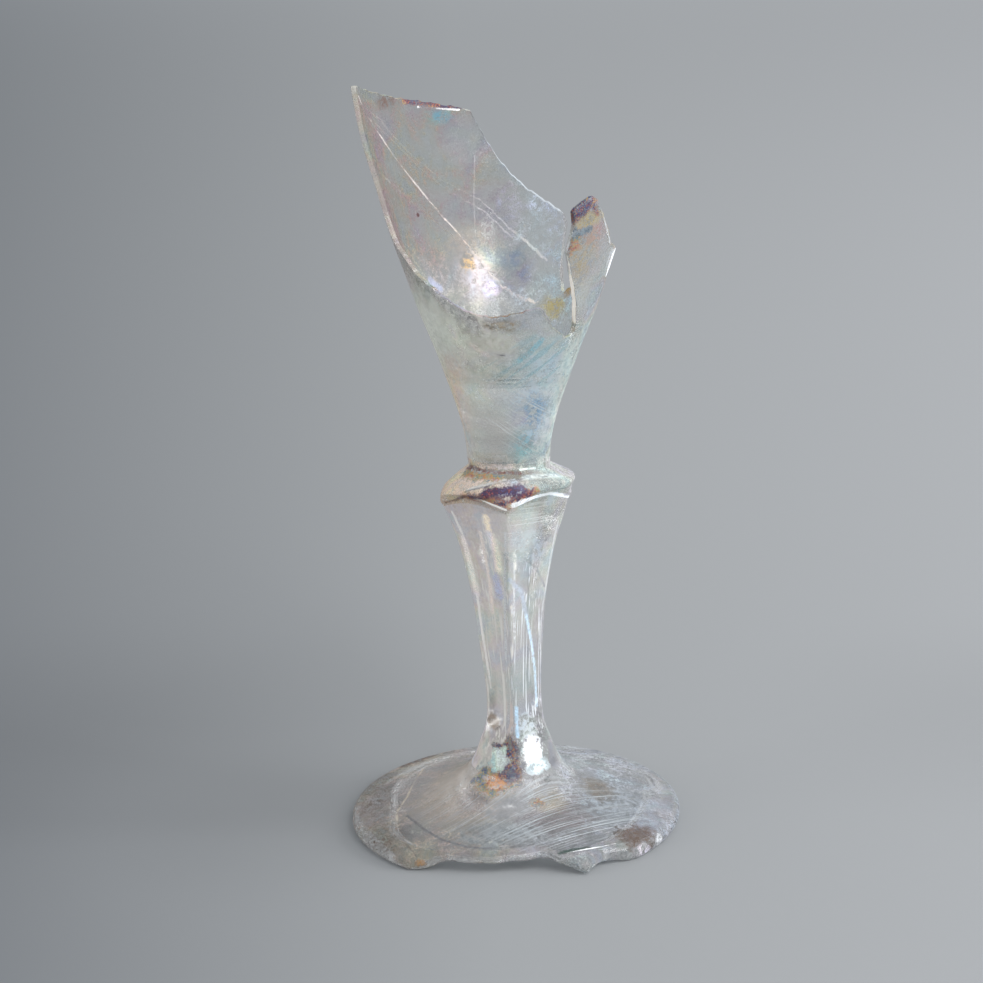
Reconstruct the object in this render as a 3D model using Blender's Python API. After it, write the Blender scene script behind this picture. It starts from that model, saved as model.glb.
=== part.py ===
# A broken wine glass: folded foot, four-sided pedestal stem, crooked collar and the stump of a funnel
# bowl with two standing shards. The glass was blown and worked hot into one piece, so it is one object.
#
# The body is a stack of closed loops round the stem, bridged from the middle of the underside, out over
# the foot, up the stem and the bowl, over the broken edge and down inside the bowl to its floor.
# Lengths are in millimetres until the points are placed, and then in metres. +Z is up.
# Azimuths are in degrees: 0 faces the front, -Y, and they grow towards the right, +X.

import math

import bmesh
import bpy
import numpy as np

MM = 0.001

# Foot
FOOT_R = 33.9  # rim of the unbroken foot
SOLE_R = 30.2  # inner edge of the flat ring that the foot rests on
FOLD_R = 24.6  # inner edge of the folded-under rim, mean of an uneven line
FOLD_STEP_Z = 1.3  # height of the fold's inner lip over the table
LAYER = 1.5  # thickness of the foot where the fold is lost
RIM_ROUND = 1.4  # how far the rounded rim reaches in from the edge
RIM_MID_Z = 1.6  # height of the rim's widest line

# Stem
CORNER_SHARP = 1.14  # exponent of the stem's section: 1 is a square on its corner, 2 a circle
STEM_SWAY = [(4, 0.0), (12, 0.45), (24, 0.45), (38, 0.1), (50, 0.0)]  # height, how far it stands to the right

# Bowl
BOWL_SHIFT = 0.75  # the bowl was set on a little to the right of the stem
BOWL_LEAN = 0.026  # and leans to the right by this much for each unit of height
BOWL_BASE_Z = 76.0
WALL = 1.1  # wall at the broken edge
WALL_LOW = 1.7  # wall just over the solid base of the bowl
WALL_BASE_Z = 101.5  # below this loop the bowl is whole all round
FLOOR_Z = 93.8  # lowest point inside the bowl
FLOOR_EDGE_Z = 95.6
MOST_GAP = 7.5  # degrees between columns where no outline point falls

# Loops with a hard edge, counted within the foot, the collar and the bowl
FOOT_CREASES = (0, 1, 4, 5)
COLLAR_CREASES = (0, 3, 5)
BOWL_CREASES = (10, 13)
STEM_RIDGE_LOOPS = 7  # the stem's corners are ridges over this many loops at its top

# Upper surface of the foot and flare of the stem: radius, height
FOOT_TOP = [(34.5, 2.7), (32.4, 3.3), (29.0, 4.0), (24.6, 5.0), (19.0, 6.5), (14.5, 8.2), (11.3, 10.1), (9.3, 12.4)]

# Underside from the snapped pontil mark outwards: radius, height
UNDERSIDE = [(4.6, 5.0), (5.5, 5.9), (13.0, 5.6), (19.5, 4.6)]

# Stem: height, radius at the corners, squareness from 0 for round to 1 for four-sided
STEM = [
    (12.4, 9.3, 0.0), (14.9, 8.1, 0.0), (17.2, 7.3, 0.15), (21.4, 5.9, 0.45), (25.7, 5.6, 0.6), (32.0, 5.85, 0.8),
    (38.6, 6.45, 0.9), (47.0, 7.25, 1.0), (53.5, 8.4, 1.0), (59.8, 9.8, 1.0), (65.2, 11.6, 1.0),
]

# Crooked collar, from the lip over the arches to the foot of the bowl. Each ring gives radius and height
# at the left, front, right and back.
COLLAR = [
    [(12.9, 70.2), (12.9, 72.3), (13.3, 71.2), (12.9, 70.6)],
    [(11.7, 72.2), (11.9, 74.7), (13.7, 72.9), (12.2, 72.8)],
    [(9.9, 74.0), (10.2, 75.9), (11.4, 74.1), (10.4, 74.4)],
    [(7.9, 75.8), (8.4, 76.8), (8.3, 75.6), (8.2, 75.9)],
]
ARCH_BULGE = 0.9  # how much the arches lift the first of them in the middle of each face

# Outside of the bowl: height, radius
BOWL = [(76.0, 8.3), (79.0, 8.35), (83.0, 8.9), (87.0, 9.95), (91.0, 11.25), (95.0, 12.7), (99.0, 14.1),
        (103.0, 15.7), (107.0, 17.3), (115.0, 20.1), (123.0, 22.9), (132.0, 25.5), (140.0, 27.9), (152.0, 30.5)]

# Broken edge of the foot: azimuth, radius
FOOT_BREAK = [(-42, 33.9), (-38, 33.4), (-34.5, 32.2), (-30, 31.0), (-22, 29.8), (-9, 29.3), (4, 28.4), (12.5, 28.6),
              (16.5, 30.6), (20, 32.2), (23.7, 33.8), (26, 32.6), (32, 31.6), (38, 32.3), (41, 33.4), (45, 33.9)]

# How much of the folded-under layer is lost there: azimuth, share
FOLD_LOSS = [(-40, 0.0), (-35, 0.35), (-30, 1.0), (14, 1.0), (19, 0.75), (23.7, 0.2), (29, 0.45), (38, 0.3), (42, 0.0)]

# Broken edge of the bowl, once round from the tip of the tall shard: azimuth of the column low on the
# bowl, and azimuth and height where it ends at the break. The shards lean, so the two azimuths differ.
BOWL_BREAK = [
    (-90, -96, 151.3), (-88, -92, 143), (-86, -89, 134), (-83.5, -85.5, 127), (-78, -79, 121.8), (-68, -67.7, 119.6),
    (-60, -60, 116.6), (-50, -50, 114.6), (-42, -42, 112.7), (-33, -33, 111), (-22, -22, 109.5), (-9, -9, 108.9),
    (6, 6, 109.7), (18, 18, 110.6), (22, 22, 109.6), (29, 29.5, 106.1), (37, 37, 104.7), (45, 45, 103.3),
    (51, 50.5, 103.6), (53.5, 51.6, 104.6), (57, 46.3, 108.3), (60, 40.7, 112.6), (63, 34.2, 116.9), (66, 29.2, 121.3),
    (67.5, 30.5, 126.5), (68.3, 28.7, 129.2), (69, 31.5, 130.6), (70, 39.3, 131.9), (71, 44.1, 129.1), (72.2, 50, 126.2),
    (75, 60.5, 121.4), (77.5, 72, 119.8), (79.5, 73.2, 116.8), (81.5, 75.5, 113.6), (85, 82, 111.4), (92, 90.5, 110.8),
    (104, 104, 110.1), (116, 116, 109.7), (128, 128, 109.3), (133, 133, 109), (137.5, 137.5, 107.2), (141, 142, 110.4),
    (143.5, 144.5, 114), (145, 145.5, 118.5), (149.5, 146, 121), (154, 150, 122.9), (162, 158.8, 124.7),
    (171, 169.3, 127.2), (176.5, 177, 130), (181.5, 183.3, 133.2), (185.5, 188.3, 136.8), (189, 192.1, 140.3),
    (192.5, 194.7, 142.8), (197, 198, 143.5), (204, 203.4, 144), (215, 213.9, 145.2), (231, 228.6, 146.7),
    (247, 244.3, 148.7), (262, 257, 150.3), (270, 264, 151.3),
]


def table(rows, column, at):
    """Value at `at`, read along a list of rows whose first column grows."""
    rows = np.array(rows, float)
    return np.interp(at, rows[:, 0], rows[:, column])


def column_azimuths():
    """Azimuths of the mesh's columns: every outline point and stem corner, and fill between them."""
    marks = [row[0] for row in BOWL_BREAK[:-1]] + [row[0] for row in FOOT_BREAK] + [-90, 0, 90, 180]
    marks = sorted(set(marks))
    kept = [marks[0]]
    for mark in marks[1:]:
        corner = mark % 90 == 0
        if mark - kept[-1] >= 1.4 or corner or mark > 60 and mark < 80:
            kept.append(mark)
    columns = []
    for here, there in zip(kept, kept[1:] + [kept[0] + 360]):
        steps = math.ceil((there - here) / MOST_GAP)
        columns += [here + (there - here) * k / steps for k in range(steps)]
    return np.array(columns)


def loop(azimuth, radius, height, centre_x=0.0):
    """Points of one closed loop, in millimetres."""
    turn = np.radians(azimuth)
    x = centre_x + radius * np.sin(turn)
    y = -radius * np.cos(turn)
    return np.column_stack([x, y, np.broadcast_to(height, x.shape)])


def around(azimuth):
    """The same azimuths counted from -180 to 180, as the foot's outline is."""
    return (azimuth + 180) % 360 - 180


def foot_top(radius):
    """Height of the foot's upper surface."""
    return table([(r, z) for r, z in reversed(FOOT_TOP)], 1, radius)


def sway(height):
    """How far the stem's axis stands to the right of the foot's."""
    return np.interp(height, *zip(*STEM_SWAY))


def foot_loops(azimuth):
    """The underside, the folded rim with its broken front, and the upper surface in to the stem."""
    front = around(azimuth)
    edge = np.interp(front, *zip(*FOOT_BREAK), left=FOOT_R, right=FOOT_R)
    loss = np.interp(front, *zip(*FOLD_LOSS), left=0.0, right=0.0)
    fold = FOLD_R - 0.9 * np.cos(np.radians(azimuth + 35)) + 0.3 * np.sin(np.radians(3 * azimuth))
    loops = [loop(azimuth, np.full_like(azimuth, r), z) for r, z in UNDERSIDE]

    def mixed(radius, whole_z, broken_radius, broken_z):
        r = radius + (broken_radius - radius) * loss
        return loop(azimuth, r, whole_z + (broken_z - whole_z) * loss)

    under = foot_top(edge) - LAYER
    loops.append(loop(azimuth, fold, foot_top(fold) - LAYER))
    loops.append(mixed(fold + 0.6, FOLD_STEP_Z, fold + 0.6, foot_top(fold + 0.6) - LAYER))
    sole = np.minimum(SOLE_R, edge - 2.4)
    loops.append(mixed(sole, 0.0, edge - 1.6, under + 0.2))
    loops.append(mixed(edge - RIM_ROUND, 0.0, edge - 0.25, under))
    loops.append(mixed(edge - 0.35, 0.5, edge - 0.05, under + 0.15))
    loops.append(mixed(edge, RIM_MID_Z, edge, under + 0.75))
    loops.append(mixed(edge - 0.35, 2.7, edge - 0.1, under + LAYER - 0.1))
    loops.append(mixed(edge - RIM_ROUND, foot_top(edge - RIM_ROUND), edge - 0.35, foot_top(edge - 0.35)))
    for share in (0.32, 0.6):
        r = (edge - RIM_ROUND) * (1 - share) + 19.0 * share
        loops.append(loop(azimuth, r, foot_top(r)))
    for r, z in FOOT_TOP[4:-1]:
        loops.append(loop(azimuth, np.full_like(azimuth, r), z, sway(z)))
    return loops


def stem_section(azimuth, corner, exponent):
    """Radius of a square with rounded corners that stands with one corner to the front."""
    turn = np.radians(azimuth)
    powers = np.abs(np.cos(turn)) ** exponent + np.abs(np.sin(turn)) ** exponent
    return corner * powers ** (-1 / exponent)


def stem_loops(azimuth):
    loops = []
    for height, corner, square in STEM:
        exponent = 2 + (CORNER_SHARP - 2) * square
        loops.append(loop(azimuth, stem_section(azimuth, corner, exponent), height, sway(height)))
    return loops


def arch_height(azimuth):
    """Height of the four arches that end the stem's faces, lowest at the corners."""
    turn = np.radians(azimuth)
    return 68.3 + 1.1 * np.cos(turn) + 0.4 * np.sin(turn) + 2.0 * np.abs(np.sin(2 * turn)) ** 0.9


def collar_loops(azimuth):
    """The arches, the lip that stands over them and the crooked collar up to the bowl."""
    turn = np.radians(azimuth)
    arch = arch_height(azimuth)
    loops = [
        loop(azimuth, stem_section(azimuth, 12.7, 1.4), arch),
        loop(azimuth, stem_section(azimuth, 13.1, 1.5), arch + 0.4),
    ]
    left, right = np.clip(-np.sin(turn), 0, 1) ** 2, np.clip(np.sin(turn), 0, 1) ** 2
    front, back = np.clip(np.cos(turn), 0, 1) ** 2, np.clip(-np.cos(turn), 0, 1) ** 2
    shares = np.column_stack([left, front, right, back])
    for index, ring in enumerate(COLLAR):
        radius, height = (shares @ np.array(ring)).T
        if index == 0:
            height = height + ARCH_BULGE * np.abs(np.sin(2 * turn))
        last = index == len(COLLAR) - 1
        loops.append(loop(azimuth, radius, height, BOWL_SHIFT if last else 0.0))
    return loops


def bowl_loop(azimuth, height, inset):
    radius = table(BOWL, 1, height) - inset
    return loop(azimuth, radius, height, BOWL_SHIFT + BOWL_LEAN * (height - BOWL_BASE_Z))


def bowl_loops(azimuth):
    """Solid base, outer wall, broken edge and inner wall down to the floor of the bowl."""
    whole = np.ones_like(azimuth)
    loops = [bowl_loop(azimuth, z * whole, 0.0) for z in (79.0, 83.0, 87.0, 91.0, 95.0)]
    edge_azimuth = table(BOWL_BREAK, 1, azimuth)
    edge_height = table(BOWL_BREAK, 2, azimuth)

    def wall(share, inset):
        a = azimuth + (edge_azimuth - azimuth) * share
        return bowl_loop(a, WALL_BASE_Z + (edge_height - WALL_BASE_Z) * share, inset)

    loops += [wall(share, 0.0) for share in (0.0, 0.2, 0.4, 0.6, 0.8, 0.985)]
    loops.append(wall(1.0, 0.2))
    loops.append(wall(1.0, WALL - 0.2))
    loops += [wall(share, WALL + (WALL_LOW - WALL) * (1 - share) ** 2) for share in (0.985, 0.75, 0.5, 0.25, 0.0)]
    loops.append(bowl_loop(azimuth, 97.4 * whole, WALL_LOW + 0.1))
    loops.append(bowl_loop(azimuth, FLOOR_EDGE_Z * whole, WALL_LOW + 0.9))
    loops.append(bowl_loop(azimuth, (FLOOR_Z + 0.7) * whole, 5.6))
    return loops


def glass_mesh():
    """Bridges the loops into one closed skin, with a point at each end, its box standing on the origin."""
    azimuth = column_azimuths()
    foot, stem, collar = foot_loops(azimuth), stem_loops(azimuth), collar_loops(azimuth)
    loops = foot + stem + collar + bowl_loops(azimuth)
    at_collar = len(foot) + len(stem)
    at_bowl = at_collar + len(collar)
    creases = [*FOOT_CREASES, *(at_collar + k for k in COLLAR_CREASES), *(at_bowl + k for k in BOWL_CREASES)]
    floor_x = BOWL_SHIFT + BOWL_LEAN * (FLOOR_Z - BOWL_BASE_Z)
    points = np.vstack(loops + [[(0, 0, 5.3), (floor_x, 0, FLOOR_Z)]])
    low, high = points.min(axis=0), points.max(axis=0)
    points -= ((low[0] + high[0]) / 2, (low[1] + high[1]) / 2, low[2])
    bm = bmesh.new()
    verts = [bm.verts.new(point * MM) for point in points]
    columns = len(azimuth)
    for ring in range(len(loops) - 1):
        for here in range(columns):
            there = (here + 1) % columns
            a, b = ring * columns, (ring + 1) * columns
            bm.faces.new((verts[a + here], verts[a + there], verts[b + there], verts[b + here]))
    top = (len(loops) - 1) * columns
    for here in range(columns):
        there = (here + 1) % columns
        bm.faces.new((verts[-2], verts[there], verts[here]))
        bm.faces.new((verts[-1], verts[top + here], verts[top + there]))
    for ring in creases:
        for here in range(columns):
            ends = verts[ring * columns + here], verts[ring * columns + (here + 1) % columns]
            bm.edges.get(ends).smooth = False
    for here in np.flatnonzero(azimuth % 90 == 0):
        for ring in range(at_collar - STEM_RIDGE_LOOPS, at_collar):
            bm.edges.get((verts[ring * columns + here], verts[(ring + 1) * columns + here])).smooth = False
    bmesh.ops.triangulate(bm, faces=bm.faces[:])
    bmesh.ops.recalc_face_normals(bm, faces=bm.faces[:])
    for face in bm.faces:
        face.smooth = True
    mesh = bpy.data.meshes.new("broken_wine_glass")
    bm.to_mesh(mesh)
    bm.free()
    return mesh


def glass_material():
    """Colourless glass, hazed by burial."""
    material = bpy.data.materials.new("weathered_glass")
    material.use_nodes = True
    shader = material.node_tree.nodes["Principled BSDF"]
    shader.inputs["Base Color"].default_value = (0.86, 0.89, 0.89, 1.0)
    shader.inputs["Roughness"].default_value = 0.18
    shader.inputs["Metallic"].default_value = 0.0
    shader.inputs["IOR"].default_value = 1.5
    shader.inputs["Transmission Weight"].default_value = 0.9
    return material


for old in list(bpy.data.objects):
    bpy.data.objects.remove(old, do_unlink=True)

glass = bpy.data.objects.new("broken_wine_glass", glass_mesh())
bpy.context.collection.objects.link(glass)
glass.data.materials.append(glass_material())
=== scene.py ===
# Looks of a broken, excavated wine glass: clear glass under a patchy skin of weathering, with cracks in
# the wall, soil in the hollows and scratches on the foot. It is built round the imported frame.
import math

import bpy
import numpy as np
from mathutils import Matrix, Vector


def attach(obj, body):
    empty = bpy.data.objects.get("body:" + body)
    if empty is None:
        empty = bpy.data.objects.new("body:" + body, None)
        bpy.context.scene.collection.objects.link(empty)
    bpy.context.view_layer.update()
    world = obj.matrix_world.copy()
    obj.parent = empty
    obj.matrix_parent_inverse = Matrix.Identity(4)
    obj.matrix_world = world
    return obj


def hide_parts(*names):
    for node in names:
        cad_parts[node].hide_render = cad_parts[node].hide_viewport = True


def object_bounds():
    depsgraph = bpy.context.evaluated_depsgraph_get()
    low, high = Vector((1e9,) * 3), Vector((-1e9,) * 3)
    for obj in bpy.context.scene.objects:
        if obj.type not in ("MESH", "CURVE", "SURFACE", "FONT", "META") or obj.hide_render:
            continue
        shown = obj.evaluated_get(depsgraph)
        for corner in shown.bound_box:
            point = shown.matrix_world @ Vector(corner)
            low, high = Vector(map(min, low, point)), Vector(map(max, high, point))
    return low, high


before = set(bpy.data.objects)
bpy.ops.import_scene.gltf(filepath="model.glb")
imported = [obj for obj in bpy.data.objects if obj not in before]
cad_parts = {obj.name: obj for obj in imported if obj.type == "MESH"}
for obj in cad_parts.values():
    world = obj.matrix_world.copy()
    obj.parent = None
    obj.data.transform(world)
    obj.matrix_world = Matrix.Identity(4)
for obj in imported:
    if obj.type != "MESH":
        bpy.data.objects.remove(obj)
cadLow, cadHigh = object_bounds()
print("frame loaded", [round(v * 1000, 1) for v in cadHigh - cadLow])

mm = 0.001  # every length is in millimetres until a mesh is made


def cubic(before, after, slopeBefore, slopeAfter, step, t):
    # cubic between two values with a slope at each: smooth step between them, plus what the slopes add
    rise = (3 - 2 * t) * t * t
    bend = t * (1 - t) * step * ((1 - t) * slopeBefore - t * slopeAfter)
    return before * (1 - rise) + after * rise + bend


def curveThrough(points, at):
    # cubic through the points; the slope at each one is that of its two neighbours
    x, y = np.array(points, float).T
    slope = np.gradient(y, x)
    k = np.clip(np.searchsorted(x, at) - 1, 0, len(x) - 2)
    step = x[k + 1] - x[k]
    return cubic(y[k], y[k + 1], slope[k], slope[k + 1], step, np.clip((at - x[k]) / step, 0, 1))


def lineThrough(points, at, **ends):
    x, y = np.array(points, float).T
    return np.interp(at, x, y, **ends)


def loft(loops, rows):
    # surface through a stack of loops: each column is a cubic over the distance between the loops
    stack = np.array(loops)
    gap = np.linalg.norm(np.diff(stack, axis=0), axis=2).mean(axis=1)
    place = np.concatenate([[0], np.cumsum(gap)])
    slope = np.gradient(stack, place, axis=0)
    at = np.linspace(0, place[-1], rows)
    k = np.clip(np.searchsorted(place, at) - 1, 0, len(place) - 2)
    step = (place[k + 1] - place[k])[:, None, None]
    t = ((at - place[k]) / (place[k + 1] - place[k]))[:, None, None]
    return cubic(stack[k], stack[k + 1], slope[k], slope[k + 1], step, t)


def ring(turn, radius, height, aside=0.0):
    # closed loop of points: turn in degrees from the front, -Y, towards the right, +X
    a = np.radians(turn)
    x = aside + radius * np.sin(a)
    y = -radius * np.cos(a)
    return np.stack([x, y, np.broadcast_to(height, x.shape)], axis=-1)


def surfaceNormals(grid):
    # cross product of the steps along the rows and along the columns, closed round the stem
    alongRow = np.roll(grid, -1, axis=1) - np.roll(grid, 1, axis=1)
    alongColumn = np.gradient(grid, axis=0)
    normal = np.cross(alongRow, alongColumn)
    return normal / (np.linalg.norm(normal, axis=2, keepdims=True) + 1e-12)


def makePiece(name, grid, closed=True, poles=(), hardRows=()):
    # grid of rows and columns made a mesh; closed joins the last column to the first, poles are end points
    rows, columns = grid.shape[:2]
    points = grid.reshape(-1, 3)
    index = np.arange(rows * columns).reshape(rows, columns)
    nextColumn = np.roll(index, -1, axis=1)
    if not closed:
        index, nextColumn = index[:, :-1], nextColumn[:, :-1]
    quads = np.stack([index[:-1], nextColumn[:-1], nextColumn[1:], index[1:]], axis=-1).reshape(-1, 4)
    faces = quads.tolist()
    if len(poles):
        first, last = len(points), len(points) + 1
        points = np.vstack([points, poles])
        faces += np.stack([np.full(columns, first), nextColumn[0], index[0]], axis=-1).tolist()
        faces += np.stack([np.full(columns, last), index[-1], nextColumn[-1]], axis=-1).tolist()
    mesh = bpy.data.meshes.new(name)
    mesh.from_pydata((points * mm).tolist(), [], faces)
    mesh.polygons.foreach_set("use_smooth", np.ones(len(mesh.polygons), bool))
    if len(hardRows):
        pairs = np.empty(len(mesh.edges) * 2, int)
        mesh.edges.foreach_get("vertices", pairs)
        row = pairs.reshape(-1, 2) // columns
        hard = (row[:, 0] == row[:, 1]) & np.isin(row[:, 0], hardRows)
        mesh.attributes.new("sharp_edge", "BOOLEAN", "EDGE").data.foreach_set("value", hard)
    mesh.update()
    piece = bpy.data.objects.new(name, mesh)
    bpy.context.scene.collection.objects.link(piece)
    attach(piece, "root")
    return piece


foot = {
    "radius": 33.9,
    "soleRadius": 30.2,
    "foldLip": 1.3,  # height of the fold's inner lip
    "layer": 1.5,  # thickness where the fold is lost
    "roughBreak": (0.12, 31),  # depth of the ripples in the broken edge, and how many go round
    "top": [(9.3, 12.4), (11.3, 10.1), (14.5, 8.2), (19, 6.5), (24.6, 5), (29, 4), (32.4, 3.3), (34.5, 2.7)],
    "topRings": (16.5, 14.5, 12.8, 11.3, 10.2),
    "outerRings": (0.06, 0.3, 0.6, 1),  # shares of the way in from the rim to the calm radius
    "calmRadius": 19.0,  # from here in the broken edge is no longer felt
    "middle": 5.25,  # height of the middle of the underside
    "pontil": [(1.5, 5.2), (3.2, 5.1), (4.6, 5)],  # snapped mark: radius, height
    "under": [(5.5, 5.9), (13, 5.6), (19.5, 4.6)],
    # least distance from the fold's inner edge out to the sole, from the sole out to the rim, and width left
    "foldGaps": (1.2, 2.4, 0.9),
    "foldRoot": (0.15, 0.2),  # the fold starts this far inside its inner edge, and this far down
    # how far the fold's inner lip reaches out and over its height
    "lip": [(0.3, 0.3), (0.8, -0.1)],
    "breakSole": (1.6, 0.2),  # where the fold is lost, the sole is this far in from the edge and this high
    # whole rim: depth in from its edge and height; broken rim: depth in, and height over its underside
    "rim": [(1.4, 0, 0.25, 0), (0.8, 0.12, 0.15, 0.05), (0.35, 0.45, 0.05, 0.2), (0.05, 1, 0, 0.5),
            (0, 1.6, 0, 0.8), (0.12, 2.2, 0.05, 1.1), (0.5, 2.75, 0.15, 1.4)],
    "rimRound": (1.4, 0.4),  # where the rounding ends on the whole and on the broken rim
    # inner edge of the folded rim: turn, radius
    "fold": [(-180, 28.6), (-135, 27.5), (-108, 25.6), (-83, 24.5), (-72, 25.5), (-58, 27.6), (-46, 28.6),
             (-36, 28.6), (40, 27.5), (62, 26.2), (76, 26), (91, 26.9), (113, 29.2), (150, 29.2),
             (180, 28.6)],
    # broken edge: turn, radius
    "break": [(-42, 33.9), (-38, 33.4), (-34.5, 32.2), (-30, 31), (-26, 30), (-22, 29.8), (-16, 29.7),
              (-9, 29.3), (-3, 28.7), (4, 28.4), (8, 28.1), (12.5, 28.6), (16.5, 30.6), (20, 32.2),
              (23.7, 33.8), (26, 32.6), (32, 31.6), (38, 32.3), (41, 33.4), (45, 33.9)],
    # share of the folded layer that is lost: turn, share
    "loss": [(-40, 0), (-35, 0.35), (-30, 1), (14, 1), (19, 0.75), (23.7, 0.2), (29, 0.45), (38, 0.3),
             (42, 0)],
}

stem = {
    "corner": 1.12,  # exponent of the four-sided section, 2 would be round
    "ridge": 0.07,  # how soft the four ridges are
    "sway": [(4, 0), (12, 0.45), (24, 0.45), (38, 0.1), (50, 0)],
    # height, radius at the corners, squareness
    "profile": [(12.4, 9.3, 0), (14.9, 8.1, 0), (17.2, 7.3, 0.15), (21.4, 5.9, 0.45), (25.7, 5.6, 0.6),
                (32, 5.85, 0.8), (38.6, 6.45, 0.9), (47, 7.25, 1), (53.5, 8.4, 1), (59.8, 9.8, 1),
                (65.2, 11.6, 1)],
}

collar = {
    # lower edge: mean height, how far it drops backwards and rises rightwards, height and shape of its arches
    "arch": 68.3,
    "archTilt": (1.1, 0.4),
    "archRise": 2.0,
    "archShape": 0.9,
    "archUnder": 0.3,  # how far the stem runs up behind the arches
    # loops at the shoulder: radius at the corners, squareness, height over the lower edge
    "shoulder": [(12.45, 0.75, -0.5), (12.75, 0.7, 0), (13.05, 0.62, 0.25), (13.15, 0.56, 0.8)],
    "bulge": 0.9,  # how far the lowest ring follows the arches
    # radius and height of each ring at the left, front, right and back
    "rings": [
        [(12.9, 70.2), (12.9, 72.3), (13.3, 71.2), (12.9, 70.6)],
        [(11.7, 72.2), (11.9, 74.7), (13.7, 72.9), (12.2, 72.8)],
        [(9.9, 74.0), (10.2, 75.9), (11.4, 74.1), (10.4, 74.4)],
        [(7.9, 75.8), (8.4, 76.8), (8.3, 75.6), (8.2, 75.9)],
    ],
}

bowl = {
    "shift": 0.75,  # the bowl sits this far to the right of the stem
    "lean": 0.026,
    "leanFrom": 76.0,
    "base": 76.6,
    "wall": 1.1,
    "wallLow": 1.7,
    "wholeTo": 101.5,  # the wall is unbroken below this height
    "floor": 93.8,
    "lip": (0.15, 0.4, 0.7, 0.9),  # rings across the broken edge, as shares of the wall
    "lipBulge": 0.12,
    # inside, going down to the floor: height, depth in from the outside
    "hollow": [(99.6, 1.72), (97.4, 1.9), (96.2, 2.3), (95.3, 3.2), (94.6, 4.6), (94.1, 6.6), (93.9, 8.9)],
    "outside": [(76, 8.3), (79, 8.35), (83, 8.9), (87, 9.95), (91, 11.25), (95, 12.7), (99, 14.1),
                (103, 15.7), (107, 17.3), (115, 20.1), (123, 22.9), (132, 25.5), (140, 27.9), (152, 30.5)],
    # broken edge: turn of the column low on the bowl, and turn and height where it ends
    "break": [
        (-90, -96, 151.3), (-88, -92, 143), (-86, -89, 134), (-83.5, -85.5, 127), (-78, -79, 121.8),
        (-68, -67.7, 119.6), (-60, -60, 116.6), (-50, -50, 114.6), (-42, -42, 112.7), (-33, -33, 111),
        (-22, -22, 109.5), (-9, -9, 108.9), (6, 6, 109.7), (18, 18, 110.6), (22, 22, 109.6),
        (29, 29.5, 106.1), (37, 37, 104.7), (45, 45, 103.3), (51, 50.5, 103.6), (53.5, 51.6, 104.6),
        (57, 46.3, 108.3),
        (60, 40.7, 112.6), (63, 34.2, 116.9), (66, 29.2, 121.3), (67.5, 30.5, 126.5), (68.3, 28.7, 129.2),
        (69, 31.5, 130.6), (70, 39.3, 131.9), (71, 44.1, 129.1), (72.2, 50, 126.2), (75, 60.5, 121.4),
        (77.5, 72, 119.8), (79.5, 73.2, 116.8), (81.5, 75.5, 113.6), (85, 82, 111.4), (92, 90.5, 110.8),
        (104, 104, 110.1), (116, 116, 109.7), (128, 128, 109.3), (133, 133, 109), (137.5, 137.5, 107.2),
        (141, 142, 110.4), (143.5, 144.5, 114), (145, 145.5, 118.5), (149.5, 146, 121), (154, 150, 122.9),
        (162, 158.8, 124.7), (171, 169.3, 127.2), (176.5, 177, 130), (181.5, 183.3, 133.2),
        (185.5, 188.3, 136.8), (189, 192.1, 140.3), (192.5, 194.7, 142.8), (197, 198, 143.5),
        (204, 203.4, 144), (215, 213.9, 145.2), (231, 228.6, 146.7), (247, 244.3, 148.7), (262, 257, 150.3),
        (270, 264, 151.3),
    ],
    "rough": 0.09,  # depth of the ripples in the broken edge
    "ripples": [(61, 1, 0), (103, 0.7, 1), (167, 0.5, 2)],  # how many go round, strength, shift
}

mesher = {
    "columns": 540,
    "inset": 0.07,  # the glass lies this far under the surface
    "filmInset": 0.01,  # and its weathered skin this far
    "under": 10,  # rows in each part
    "step": 7,
    "rim": 16,
    "top": 24,
    "stem": 32,
    "collar": 20,
    "wall": 20,
    "wallStart": 0.05,  # the broken part of the wall has its first row this share up
    "smoothing": 5,  # columns over which the broken edge is evened out
    "degrees": (0.35, 0.3),  # length that a degree counts for along the broken edge, and low on the bowl
}


def ripples(waves, at):
    return sum(strength * np.sin(at * rate + shift) for rate, strength, shift in waves)


def brokenEdgeColumns():
    # columns at equal steps of turn plus length along the broken edge, so that they gather on steep breaks
    base, edge, height = np.array(bowl["break"], float).T
    onEdge, onBase = mesher["degrees"]
    place = np.cumsum(np.hypot(np.diff(edge) * onEdge, np.diff(height)) + np.diff(base) * onBase)
    place = np.concatenate([[0], place])
    at = np.linspace(0, place[-1], mesher["columns"], endpoint=False)
    base, edge, height = (np.interp(at, place, v) for v in (base, edge, height))
    width = mesher["smoothing"]
    half = width // 2
    wrapped = np.concatenate([height[-half:], height, height[:half]])
    height = np.convolve(wrapped, np.ones(width) / width, "valid")
    return base, edge, height + ripples(bowl["ripples"], at * 2 * math.pi / place[-1]) * bowl["rough"]


turn, edgeTurn, edgeHeight = brokenEdgeColumns()
frontTurn = (turn + 180) % 360 - 180  # the same turns from -180 to 180
allRound = np.ones_like(turn)


def footTop(radius):
    return curveThrough(foot["top"], radius)


def footUnder(radius):
    return footTop(radius) - foot["layer"]


def stemAside(height):
    return lineThrough(stem["sway"], height)


def rings(profile):
    return [ring(turn, radius * allRound, z) for radius, z in profile]


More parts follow.
